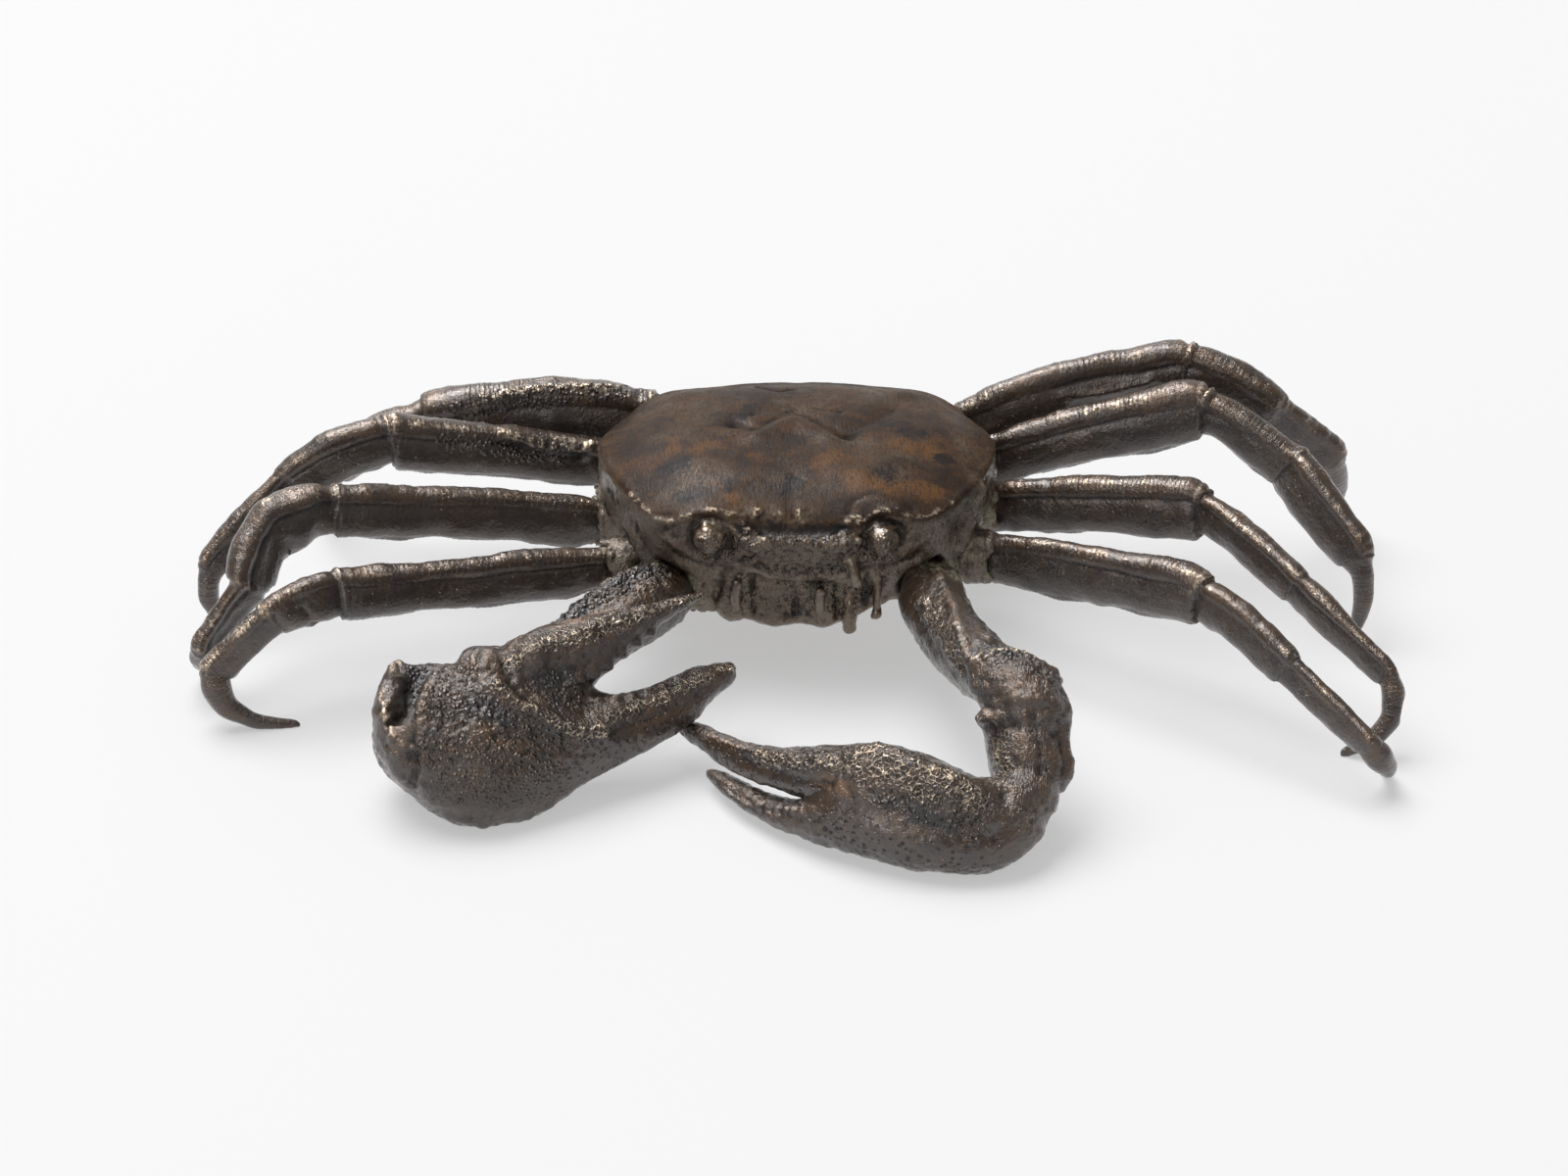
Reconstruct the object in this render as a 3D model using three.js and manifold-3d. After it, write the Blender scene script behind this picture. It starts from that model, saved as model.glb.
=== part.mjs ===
// A crab cast in bronze from a real one: a body, two claws and eight walking legs,
// each its own casting, set into sockets in the body where they are soldered.
//
// Millimetres, +Z up. The crab faces -Y, and its left side is +X. While it is made, the body's
// centre stands over the origin; the whole crab is then shifted so that the origin is under the
// middle of everything, on the surface that it stands on.

import * as THREE from 'three';
import { mergeVertices } from 'three/addons/utils/BufferGeometryUtils.js';
import Module from 'manifold-3d';

const wasm = await Module();
wasm.setup();

// ---------------------------------------------------------------- driving dimensions

const FOOTPRINT_SHIFT = [1.0, 22.88];  // from the body's centre to the footprint's centre
const SOLDER_GAP = 0.3;               // between a limb's root and its socket
const UP = new THREE.Vector3(0, 0, 1);
const GROUND_WIDTH = 400;
const GROUND_DEPTH = 40;

// Carapace: the left half of its rim as [x, y, z], from the middle of the front to the
// middle of the back, with the eye's orbit as a rise near the front.
const RIM_HALF = [
  [0, -22.6, 25.6],
  [5, -22.9, 25.2],
  [8.6, -22.0, 26.2],
  [12.5, -20.6, 28.0],
  [17, -20.6, 26.8],
  [21, -18.6, 26.6],
  [25.2, -11, 26.4],
  [28.6, -2, 26.2],
  [29.4, 4, 25.8],
  [27.2, 10.5, 25.1],
  [22, 16.8, 25.3],
  [13, 20.4, 26.2],
  [0, 21.2, 26.6],
];
const RIM_POINTS = 36;
const CARAPACE_HALF_WIDTH = 29.4;
const CARAPACE_TOP = [0, -2, 31.2];
const DOME_RINGS = [0.35, 0.62, 0.8, 0.92];
const DOME_FULLNESS = 4;            // higher keeps the top flat for longer
const WALL_RINGS = [                  // [rim's x scale, rim's y scale, height], under the rim
  [1.0, 1.01, 24],
  [0.99, 0.95, 19],
  [0.96, 0.865, 14.4],
  [0.84, 0.77, 10.4],
  [0.5, 0.5, 8.2],
];
const BELLY_HEIGHT = 7.4;
const BELLY_RISE = 1.6;               // how much higher the belly is at the flanks

const EYES = [[-12.7, -21.4, 24.6], [12.4, -21.6, 24.3]];
const EYE_RADIUS = 2.0;
const EYE_SIDES = 10;
const ORBIT_RADII = [3.2, 3.2, 2.56];
const ORBIT_FORWARD = 1.4;            // the orbit's hollow is centred this far in front of its eye

// Mouthparts and sprue stubs: [from, to, radius].
const MOUTHPARTS = [
  [[-3.6, -18.0, 18], [-3.4, -16.4, 10.6], 2.6],
  [[3.6, -18.0, 18], [3.2, -16.4, 10.6], 2.6],
  [[-10, -18.4, 16], [-9.6, -17.4, 11], 1.3],
  [[4.2, -19.2, 14.5], [4.0, -18.6, 10.2], 1.1],
  [[7.9, -21.5, 20.8], [8.7, -21.3, 16.4], 0.8],
  [[7.7, -18.2, 14.8], [7.6, -18.6, 8.9], 0.6],
  [[11.7, -18.4, 16.6], [11.6, -18.8, 11.4], 0.65],
  [[4.6, -22.0, 24.4], [7.6, -22.4, 24.0], 1.0],
  [[-4.6, -22.0, 24.4], [-7.4, -22.2, 24.2], 0.9],
];

// Walking legs: the joints in order, from the root to the tip on the ground, and half the
// height of each of the four segments. The bend pulls the last segment's curve outwards, and a
// carpus bend does the same for a second segment that arches more than the others.
const LEGS = {
  leg_left_1: {
    joints: [[27.5, -9.6, 14.5], [57.8, -29.4, 18.8], [69.6, -41.4, 14.3], [80, -52.6, 8.6], [83.4, -45.4, 0]],
    bend: [84.8, -52.6, 3.4],
    halfHeights: [3.9, 3.2, 2.7, 2.1],
  },
  leg_left_2: {
    joints: [[28.8, 2.4, 16], [58.8, -11.6, 23.2], [71.6, -26.2, 19], [84, -39.2, 11.8], [77.6, -41.2, 0]],
    bend: [87.4, -43.5, 5.4],
    halfHeights: [4.4, 3.2, 3.0, 2.1],
  },
  leg_left_3: {
    joints: [[27.5, 12.6, 18.2], [60, 9.2, 28.8], [72.4, 2.8, 22.8], [82.2, -8.6, 14.0], [80.9, -9.8, 0]],
    bend: [84.4, -11.8, 7],
    halfHeights: [4.4, 3.3, 4.2, 2.1],
  },
  leg_left_4: {
    joints: [[21.5, 18.5, 19.4], [57.8, 20, 30], [70.4, 16.4, 24.6], [80, 18, 15.6], [80.9, 27.6, 0]],
    bend: [82.6, 21.4, 7.5],
    halfHeights: [4.4, 4.2, 3.8, 2.1],
  },
  leg_right_1: {
    joints: [[-26.8, -12.6, 14.5], [-66, -25.9, 17.8], [-75, -31, 16.6], [-83.4, -33, 9], [-72.4, -33.1, 0]],
    bend: [-84.4, -35, 1.2],
    halfHeights: [3.6, 3.0, 2.8, 2.2],
  },
  leg_right_2: {
    joints: [[-28, -0.8, 16], [-67.2, -11.8, 23.4], [-79.2, -22.4, 17], [-85.4, -25.8, 8.6], [-84, -15, 0]],
    bend: [-88, -23, 3.4],
    carpusBend: [-78.6, -14.8, 26],
    halfHeights: [3.6, 3.9, 3.2, 2.1],
  },
  leg_right_3: {
    joints: [[-27.2, 12.3, 18], [-59.6, 4.8, 25.6], [-74.4, 1.4, 20.8], [-86, -5.4, 10.6], [-84.6, -5.4, 0]],
    bend: [-88, -6.5, 4.5],
    halfHeights: [3.8, 3.6, 3.2, 2.0],
  },
  leg_right_4: {
    joints: [[-21, 18.8, 23.4], [-56, 18.5, 19.8], [-63.7, 16.9, 18.8], [-69.4, 21.7, 12], [-69.1, 30.4, 0]],
    bend: [-73, 25.6, 4.4],
    halfHeights: [5.6, 3.9, 3.2, 2.0],
  },
};

// Leg segments, as stations [how far along, bottom, top, half thickness], where the last three
// are in units of the segment's half height. Each ends in a knuckle and starts in the one before.
const MERUS = [
  [0, -0.7, 0.7, 0.46],
  [0.1, -0.96, 0.86, 0.54],
  [0.4, -0.94, 1.0, 0.58],
  [0.84, -0.98, 1.02, 0.64],
  [0.95, -1.04, 1.08, 0.68],
  [1.02, -0.78, 0.84, 0.5],
];
const CARPUS = [
  [-0.14, -0.6, 0.7, 0.5],
  [0.1, -0.84, 0.98, 0.62],
  [0.5, -0.96, 1.04, 0.7],
  [0.95, -0.96, 1.0, 0.64],
  [1.06, -0.6, 0.64, 0.44],
];
const PROPODUS = [
  [-0.1, -0.7, 0.7, 0.44],
  [0.06, -1.0, 0.98, 0.56],
  [0.95, -0.84, 0.86, 0.52],
  [1.05, -0.54, 0.54, 0.42],
];
const DACTYL = [
  [-0.04, -0.7, 0.7, 0.6],
  [0.16, -0.94, 0.94, 0.78],
  [0.45, -0.76, 0.76, 0.64],
  [0.75, -0.48, 0.48, 0.42],
  [1.0, -0.2, 0.2, 0.2],
];
const SEGMENT_ARCHES = [1.0, 1.4, 0.6, 0];   // how far each leg segment bows up

// One leg section, right half, as [x, y] with the crest at the top, a groove under it and a
// ridge along the side.
const LEG_SECTION_HALF = [[0, 1], [0.44, 0.84], [0.64, 0.44], [1, 0.08], [0.84, -0.62], [0, -1]];

// Hands: the middle line of each, the angle at which it leans back, and stations
// [distance along the line, bottom, top, half thickness] for the palm with its fixed finger
// and for the movable finger.
const HANDS = {
  claw_left: {
    line: [[34, -65.8, 6], [26, -69.3, 5.3], [18, -69.8, 5], [9, -67.3, 4.8], [0, -62.3, 4.3],
      [-7, -56.3, 3.5], [-13, -49.3, 2.7], [-18, -42.8, 2.3]],
    lean: 30,
    palm: [
      [-1, 0.6, 6.2, 3.4],
      [1.5, -2.2, 6.8, 4.8],
      [5, -5.1, 6.6, 5.9],
      [9, -6.2, 6.9, 6.5],
      [13, -6.2, 9.2, 6.8],
      [18, -5.6, 11.2, 6.6],
      [23.5, -4.9, 11.6, 6.0],
      [28, -4.4, 10.2, 5.2],
      [31.5, -4.2, 5.0, 4.2],
      [35, -4.0, 1.5, 3.1],
      [41, -3.4, 0.4, 2.4],
      [46.5, -2.4, 0.7, 1.9],
      [51.5, -1.6, 0.8, 1.3],
      [54.6, -0.8, 0.2, 0.5],
    ],
    finger: [
      [26.5, 2.2, 10.4, 4.0],
      [30, 1.4, 10.5, 4.2],
      [35, 1.7, 9.2, 3.8],
      [41, 1.9, 7.5, 3.2],
      [47.5, 1.9, 6.1, 2.6],
      [54, 2.2, 5.4, 2.1],
      [60, 2.5, 4.9, 1.5],
      [63.6, 2.7, 4.3, 0.9],
      [65.5, 3.1, 3.7, 0.4],
    ],
  },
  claw_right: {
    line: [[-58, -58.2, 7.6], [-50, -56.7, 8.1], [-40, -52.7, 9.1], [-30, -47.7, 10.6],
      [-20, -42.7, 12.1], [-10, -35.2, 14.1]],
    lean: 35,
    palm: [
      [0, -3.0, 8.0, 4.2],
      [3, -5.0, 10.4, 5.6],
      [7, -8.0, 12.2, 6.8],
      [11, -10.5, 12.8, 7.4],
      [15, -11.2, 13.6, 7.6],
      [20, -10.8, 14.0, 7.2],
      [25, -9.3, 12.2, 6.6],
      [29.5, -8.7, 7.6, 5.6],
      [33.5, -8.2, 1.8, 4.6],
      [38, -7.5, 0.4, 4.0],
      [43.5, -6.6, 0.5, 3.3],
      [48.5, -5.3, 0.1, 2.6],
      [52.0, -3.9, -1.0, 1.8],
      [53.8, -2.9, -1.9, 0.6],
    ],
    finger: [
      [21, 3.2, 13.2, 4.6],
      [25, 2.8, 13.6, 5.2],
      [29, 3.0, 13.8, 5.0],
      [33, 3.8, 13.4, 4.5],
      [37, 5.4, 12.7, 4.0],
      [41, 7.0, 12.0, 3.2],
      [46, 7.8, 11.1, 2.5],
      [50.5, 8.0, 9.9, 1.7],
      [53.6, 8.1, 8.9, 0.9],
      [55, 8.2, 8.5, 0.4],
    ],
  },
};
const HAND_SIDES = 12;
const HAND_SQUARENESS = 2.3;          // 2 is an ellipse
const ARM_SIDES = 10;
const ARM_SQUARENESS = 2.2;
const STUB_SIDES = 6;
const CAP_DOME = 0.25;                // how far a limb's end bulges, in half thicknesses

// Arms between the body and the hands, as tapered runs of [x, y, z, half height, half thickness].
const ARMS = {
  claw_left: {
    merus: [
      [18.6, -13.8, 13, 4.0, 3.8],
      [19.4, -18, 13.4, 5.0, 4.6],
      [21.4, -34, 16, 4.7, 4.6],
      [25, -45, 18, 5.2, 5.0],
      [28.2, -51.6, 19, 4.2, 4.2],
    ],
    wrist: [
      [26.4, -49.4, 19.2, 4.2, 4.0],
      [30.6, -52.6, 18, 5.8, 5.4],
      [32.2, -56.2, 15, 6.4, 6.0],
      [32, -59.6, 11.4, 6.2, 5.6],
      [31, -62.6, 8.6, 5.0, 4.6],
    ],
    spines: [
      [[30, -56, 15.2], [25.6, -56.8, 15], 2.6, 0.8],
      [[32.4, -54.6, 17], [36.2, -51.8, 19.8], 4.0, 1.8],
    ],
  },
  claw_right: {
    merus: [
      [-17.4, -16.6, 13.4, 4.2, 4.0],
      [-21, -20.4, 13.2, 5.0, 4.8],
      [-26, -24.6, 12.8, 5.2, 5.0],
      [-33, -30.6, 9.6, 4.4, 4.8],
      [-44, -40, 8.2, 4.6, 5.0],
      [-50.6, -45, 9.6, 4.6, 4.8],
    ],
    wrist: [
      [-47.4, -43, 10.4, 4.4, 4.4],
      [-51, -45.4, 10.8, 6.8, 5.8],
      [-53, -49.2, 10.2, 8.6, 6.4],
      [-53.6, -52.8, 9.4, 8.6, 6.0],
      [-53, -55.6, 8.8, 6.4, 5.2],
    ],
    spines: [
      [[-55, -47, 12.5], [-56.4, -45, 17.6], 3.0, 1.0],
    ],
  },
};

// Lumps of shell and solder where each limb joins the body: [centre, radii].
const ROOT_LUMPS = {
  leg_left_1: [[25.6, -9.4, 14.6], [4.0, 4.4, 4.8]],
  leg_left_2: [[26.4, 2, 16.2], [4.0, 4.8, 5.2]],
  leg_left_3: [[25.4, 11.6, 17.2], [4.0, 4.6, 5.2]],
  leg_left_4: [[20.4, 16.6, 18.4], [4.6, 4.2, 5.0]],
  leg_right_1: [[-25.2, -11.6, 14.6], [4.0, 4.4, 4.8]],
  leg_right_2: [[-26.2, -0.6, 16.2], [4.0, 4.8, 5.2]],
  leg_right_3: [[-25.4, 11.4, 17.2], [4.0, 4.6, 5.2]],
  leg_right_4: [[-20.2, 16.6, 18.8], [4.6, 4.2, 5.4]],
  claw_left: [[17.6, -12.8, 14], [5.6, 4.8, 5.0]],
  claw_right: [[-16.6, -14.4, 14.2], [5.8, 5.0, 5.0]],
};

// ---------------------------------------------------------------- solids

// A closed solid from flat arrays of points and of triangle corners.
function solidOf(points, corners) {
  const mesh = new wasm.Mesh({
    numProp: 3,
    vertProperties: new Float32Array(points.flat()),
    triVerts: new Uint32Array(corners.flat()),
  });
  return new wasm.Manifold(mesh);
}

// A three.js geometry as a solid, with its shared vertices merged.
function solidOfGeometry(geometry) {
  geometry.deleteAttribute('normal');
  geometry.deleteAttribute('uv');
  const merged = mergeVertices(geometry, 1e-4);
  const position = merged.getAttribute('position');
  const index = merged.getIndex().array;
  const points = [];
  for (let i = 0; i < position.count; i += 1) {
    points.push([position.getX(i), position.getY(i), position.getZ(i)]);
  }
  const corners = [];
  for (let i = 0; i < index.length; i += 3) {
    const [a, b, c] = [index[i], index[i + 1], index[i + 2]];
    if (a !== b && b !== c && c !== a) {
      corners.push([a, b, c]);
    }
  }
  return solidOf(points, corners);
}

// Joins rings of points, each ring clockwise as seen from the far end, and closes both ends
// with a fan to the given end points.
function skinRings(rings, startPoint, endPoint) {
  const sides = rings[0].length;
  const points = [startPoint, ...rings.flat(), endPoint];
  const last = points.length - 1;
  const at = (ring, side) => 1 + ring * sides + (side % sides);
  const corners = [];
  for (let side = 0; side < sides; side += 1) {
    corners.push([0, at(0, side + 1), at(0, side)]);
    for (let ring = 0; ring + 1 < rings.length; ring += 1) {
      corners.push([at(ring, side), at(ring, side + 1), at(ring + 1, side + 1)]);
      corners.push([at(ring, side), at(ring + 1, side + 1), at(ring + 1, side)]);
    }
    corners.push([last, at(rings.length - 1, side), at(rings.length - 1, side + 1)]);
  }
  return solidOf(points, corners);
}

// A run of sections along a limb. Each station has a centre, a direction, an up direction,
// a bottom and a top measured along up, and a half thickness.
function loft(stations, section, grow = 0) {
  const rings = stations.map((station) => {
    const side = new THREE.Vector3().crossVectors(station.along, station.up).normalize();
    const middle = (station.top + station.bottom) / 2;
    const half = (station.top - station.bottom) / 2 + grow;
    return section.map(([x, y]) => station.centre.clone()
      .addScaledVector(side, x * (station.thick + grow))
      .addScaledVector(station.up, middle + y * half)
      .toArray());
  });
  const first = stations[0];
  const final = stations[stations.length - 1];
  const capPoint = (station, sign) => station.centre.clone()
    .addScaledVector(station.up, (station.top + station.bottom) / 2)
    .addScaledVector(station.along, sign * (grow + CAP_DOME * station.thick))
    .toArray();
  return skinRings(rings, capPoint(first, -1), capPoint(final, 1));
}

function mirroredSection(half) {
  const inner = half.slice(1, -1);
  const left = inner.reverse().map(([x, y]) => [-x, y]);
  return [...half, ...left];
}

function roundSection(sides, squareness) {
  const section = [];
  for (let i = 0; i < sides; i += 1) {
    const angle = -(i / sides) * 2 * Math.PI;
    const bend = (value) => Math.sign(value) * Math.abs(value) ** (2 / squareness);
    section.push([bend(Math.cos(angle)), bend(Math.sin(angle))]);
  }
  return section;
}

const LEG_SECTION = mirroredSection(LEG_SECTION_HALF);
const HAND_SECTION = roundSection(HAND_SIDES, HAND_SQUARENESS);
const ARM_SECTION = roundSection(ARM_SIDES, ARM_SQUARENESS);
const STUB_SECTION = roundSection(STUB_SIDES, 2);

// A direction made perpendicular to another.
function squaredTo(direction, along) {
  return direction.clone().addScaledVector(along, -direction.dot(along)).normalize();
}

// Stations along a curve, with up carried along so that it doesn't twist.
function stationsOn(curve, rows, startUp, scale = 1) {
  let along = null;
  let up = startUp.clone();
  return rows.map(([t, bottom, top, thick]) => {
    const inside = Math.min(Math.max(t, 0), 1);
    const next = curve.getTangent(inside).normalize();
    if (along) {
      up.applyQuaternion(new THREE.Quaternion().setFromUnitVectors(along, next));
    }
    along = next;
    up = squaredTo(up, along);
    const centre = curve.getPoint(inside).addScaledVector(along, (t - inside) * curve.getLength());
    return {
      centre, along: along.clone(), up: up.clone(),
      bottom: bottom * scale, top: top * scale, thick: thick * scale,
    };
  });
}

// A tapered run through points given as [x, y, z, half height, half thickness].
function taperedRun(rows, grow = 0) {
  const places = rows.map(([x, y, z]) => new THREE.Vector3(x, y, z));
  let up = null;
  let before = null;
  const stations = rows.map(([, , , half, thick], i) => {
    const along = new THREE.Vector3()
      .subVectors(places[Math.min(i + 1, rows.length - 1)], places[Math.max(i - 1, 0)])
      .normalize();
    if (before) {
      up.applyQuaternion(new THREE.Quaternion().setFromUnitVectors(before, along));
    } else {
      up = squaredTo(UP, along);
    }
    before = along.clone();
    return { centre: places[i], along, up: squaredTo(up, along), bottom: -half, top: half, thick };
  });
  return loft(stations, ARM_SECTION, grow);
}

// A round stub or spine between two points, with a radius at each end.
function stub(from, to, startRadius, endRadius = startRadius) {
  const start = new THREE.Vector3(...from);
  const end = new THREE.Vector3(...to);
  const along = new THREE.Vector3().subVectors(end, start).normalize();
  const helper = Math.abs(along.z) > 0.9 ? new THREE.Vector3(1, 0, 0) : UP;
  const up = squaredTo(helper, along);
  const station = (t) => {
    const radius = THREE.MathUtils.lerp(startRadius, endRadius, t);
    return {
      centre: start.clone().lerp(end, t), along, up, bottom: -radius, top: radius, thick: radius,
    };
  };
  return loft([station(0), station(1)], STUB_SECTION);
}

function ball(centre, radii, sides = 8) {
  const geometry = new THREE.SphereGeometry(1, sides, Math.round(0.6 * sides));
  geometry.rotateX(Math.PI / 2);
  geometry.scale(...radii);
  geometry.translate(...centre);
  return solidOfGeometry(geometry);
}

// ---------------------------------------------------------------- legs

function legSegments(leg, grow = 0) {
  const joints = leg.joints.map((joint) => new THREE.Vector3(...joint));
  const rowsOf = [MERUS, CARPUS, PROPODUS, DACTYL];
  const segments = [];
  let up = UP;
  rowsOf.forEach((rows, i) => {
    const from = joints[i];
    const to = joints[i + 1];
    const bend = from.clone().lerp(to, 0.5).addScaledVector(UP, SEGMENT_ARCHES[i]);
    if (rows === CARPUS && leg.carpusBend) {
      bend.set(...leg.carpusBend);
    }
    if (rows === DACTYL) {
      bend.set(...leg.bend);
    }
    const curve = new THREE.QuadraticBezierCurve3(from, bend, to);
    const first = curve.getTangent(0).normalize();
    const stations = stationsOn(curve, rows, squaredTo(up, first), leg.halfHeights[i]);
    const end = stations[stations.length - 1];
    up = end.up;
    segments.push(loft(stations, LEG_SECTION, grow));
  });
  return segments;
}

function makeLeg(leg) {
  return joined(legSegments(leg));
}

// ---------------------------------------------------------------- claws

// Stations on a hand's middle line, where up leans back from the vertical and away from the
// front.
function handStations(hand, rows) {
  const places = hand.line.map((place) => new THREE.Vector3(...place));
  const curve = new THREE.CatmullRomCurve3(places, false, 'centripetal');
  const length = curve.getLength();
  const lean = THREE.MathUtils.degToRad(hand.lean);
  return rows.map(([distance, bottom, top, thick]) => {
    const t = distance / length;
    const inside = Math.min(Math.max(t, 0), 1);
    const along = curve.getTangentAt(inside).normalize();
    const back = new THREE.Vector3(along.y, -along.x, 0).normalize();
    if (back.y < 0) {
      back.negate();
    }
    const leaning = UP.clone().multiplyScalar(Math.cos(lean)).addScaledVector(back, Math.sin(lean));
    const centre = curve.getPointAt(inside).addScaledVector(along, (t - inside) * length);
    return { centre, along, up: squaredTo(leaning, along), bottom, top, thick };
  });
}

function makeClaw(name) {
  const hand = HANDS[name];
  const arm = ARMS[name];
  return joined([
    taperedRun(arm.merus),
    taperedRun(arm.wrist),
    ...arm.spines.map(([from, to, startRadius, endRadius]) => stub(from, to, startRadius, endRadius)),
    loft(handStations(hand, hand.palm), HAND_SECTION),
    loft(handStations(hand, hand.finger), HAND_SECTION),
  ]);
}

// ---------------------------------------------------------------- body

function rimPoints() {
  const leftHalf = RIM_HALF.map((place) => new THREE.Vector3(...place));
  const rightHalf = RIM_HALF.slice(1, -1).reverse().map(([x, y, z]) => new THREE.Vector3(-x, y, z));
  const rim = new THREE.CatmullRomCurve3([...leftHalf, ...rightHalf], true, 'centripetal');
  return rim.getSpacedPoints(RIM_POINTS).slice(0, RIM_POINTS);
}

function makeShell() {
  const rim = rimPoints();
  const top = new THREE.Vector3(...CARAPACE_TOP);
  const domeRing = (share) => rim.map((point) => {
    const place = top.clone().lerp(point, share);
    place.z = point.z + (top.z - point.z) * (1 - share ** DOME_FULLNESS);
    return place.toArray();
  });
  const flank = (point) => BELLY_RISE * (point.x / CARAPACE_HALF_WIDTH) ** 2;
  const wallRing = ([scaleX, scaleY, height]) => rim.map((point) => [
    point.x * scaleX, point.y * scaleY, height + flank(point),
  ]);
  const rings = [
    ...DOME_RINGS.map(domeRing),
    rim.map((point) => point.toArray()),
    ...WALL_RINGS.map(wallRing),
  ];
  return skinRings(rings.map((ring) => ring.reverse()), top.toArray(), [0, 0, BELLY_HEIGHT]);
}

function makeBody() {
  const orbits = joined(EYES.map(([x, y, z]) => ball([x, y - ORBIT_FORWARD, z], ORBIT_RADII)));
  const shell = makeShell().subtract(orbits);
  return joined([
    shell,
    ...Object.values(ROOT_LUMPS).map(([centre, radii]) => ball(centre, radii)),
    ...EYES.map((eye) => ball(eye, [EYE_RADIUS, EYE_RADIUS, EYE_RADIUS], EYE_SIDES)),
    ...MOUTHPARTS.map(([from, to, radius]) => stub(from, to, radius)),
  ]);
}

// ---------------------------------------------------------------- assembly

function joined(solids) {
  return solids.reduce((sum, solid) => sum.add(solid));
}

// Everything under the surface that the crab stands on is ground away, which leaves a small
// flat under every tip and under both palms.
const GROUND = (() => {
  const geometry = new THREE.BoxGeometry(GROUND_WIDTH, GROUND_WIDTH, GROUND_DEPTH);
  geometry.translate(0, 0, -GROUND_DEPTH / 2);
  return solidOfGeometry(geometry);
})();

function standing(solid) {
  return solid.subtract(GROUND);
}

function geometryOf(solid) {
  const mesh = solid.getMesh();
  const geometry = new THREE.BufferGeometry();
  geometry.setAttribute('position', new THREE.BufferAttribute(mesh.vertProperties, 3));
  geometry.setIndex(new THREE.BufferAttribute(mesh.triVerts, 1));
  return geometry;
}

const bronze = new THREE.MeshStandardMaterial({ color: 0x3d322b, roughness: 0.45, metalness: 0.85 });
const carapaceBronze = new THREE.MeshStandardMaterial({
  color: 0x5e4128, roughness: 0.42, metalness: 0.8,
});

const limbs = {};
const sockets = [];
for (const name of Object.keys(HANDS)) {
  limbs[name] = makeClaw(name);
  sockets.push(taperedRun(ARMS[name].merus, SOLDER_GAP));
}
for (const [name, leg] of Object.entries(LEGS)) {
  limbs[name] = makeLeg(leg);
  sockets.push(legSegments(leg, SOLDER_GAP)[0]);
}
const body = makeBody().subtract(joined(sockets));

const crab = new THREE.Group();
crab.name = 'bronze_crab';
crab.position.set(FOOTPRINT_SHIFT[0], FOOTPRINT_SHIFT[1], 0);

function addPiece(name, solid, material) {
  const mesh = new THREE.Mesh(geometryOf(standing(solid)), material);
  mesh.name = name;
  crab.add(mesh);
}

addPiece('body', body, carapaceBronze);
for (const [name, solid] of Object.entries(limbs)) {
  addPiece(name, solid, bronze);
}

export default crab;
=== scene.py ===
"""The looks of a crab cast in bronze: cast and chased surfaces, brown patina, and a studio stage.

Places are in millimetres from the body's centre, which stands BODY_CENTRE from the frame's origin.
The crab faces -Y and its left side is +X. Each casting starts from its solid, is fused with the small
forms that belong to it and remeshed finely, and is then drawn into shape, carved by strokes and grained.
"""

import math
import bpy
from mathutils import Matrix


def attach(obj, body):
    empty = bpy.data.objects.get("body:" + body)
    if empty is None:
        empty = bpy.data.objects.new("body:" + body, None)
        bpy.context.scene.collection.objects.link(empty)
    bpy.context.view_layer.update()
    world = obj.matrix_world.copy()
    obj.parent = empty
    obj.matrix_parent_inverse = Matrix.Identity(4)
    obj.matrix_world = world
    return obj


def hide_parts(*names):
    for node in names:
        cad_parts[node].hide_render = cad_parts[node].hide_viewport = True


bl_info = {
    "name": "Bronze Crab",
    "version": (1, 0, 0),
    "blender": (4, 5, 0),
    "location": "3D View > Sidebar > Bronze Crab",
    "description": "Dresses the castings of a bronze crab and sets up its studio stage",
    "category": "Object",
}

import bpy
import numpy as np
from mathutils import Vector

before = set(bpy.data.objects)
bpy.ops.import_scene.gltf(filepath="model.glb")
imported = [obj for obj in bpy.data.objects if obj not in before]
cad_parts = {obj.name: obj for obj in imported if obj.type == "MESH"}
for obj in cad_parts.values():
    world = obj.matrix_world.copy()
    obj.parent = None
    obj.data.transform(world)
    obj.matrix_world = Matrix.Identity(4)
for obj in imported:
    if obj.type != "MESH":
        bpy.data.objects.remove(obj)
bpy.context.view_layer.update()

MM = 0.001
BODY_CENTRE = np.array([1.0, 22.88, 0.0])
UP = np.array([0.0, 0.0, 1.0])

# ---------------------------------------------------------------- the face

EYES = [(-12.7, -21.2, 24.5), (12.4, -21.3, 24.3)]
EYE_RADIUS = 2.3
# How far an eye's grains reach, and where light catches it, sideways and up from its middle.
EYE_RIM = 1.25 * EYE_RADIUS
EYE_GLINT = np.array([-0.5, 0.8])

# The rods that hang on the face: [points along the rod], radius at each end.
FACE_RODS = [
    ([(-8.6, -21.1, 17.2), (-8.9, -20.6, 14.4), (-8.8, -19.6, 12.4)], 0.75, 0.6),
    ([(3.4, -21.4, 16.2), (3.2, -20.8, 13.8), (3.3, -20, 12)], 0.75, 0.6),
    ([(7.6, -21.4, 20.9), (8.3, -22.3, 18.9), (8.7, -21.6, 16.4)], 0.85, 0.8),
    ([(7.8, -18.6, 15.2), (7.7, -19.6, 12.0), (7.6, -19.4, 9.1)], 0.55, 0.62),
    ([(11.9, -18.8, 16.8), (11.7, -19.3, 14.0), (11.5, -19.3, 11.6)], 0.5, 0.45),
]
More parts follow.
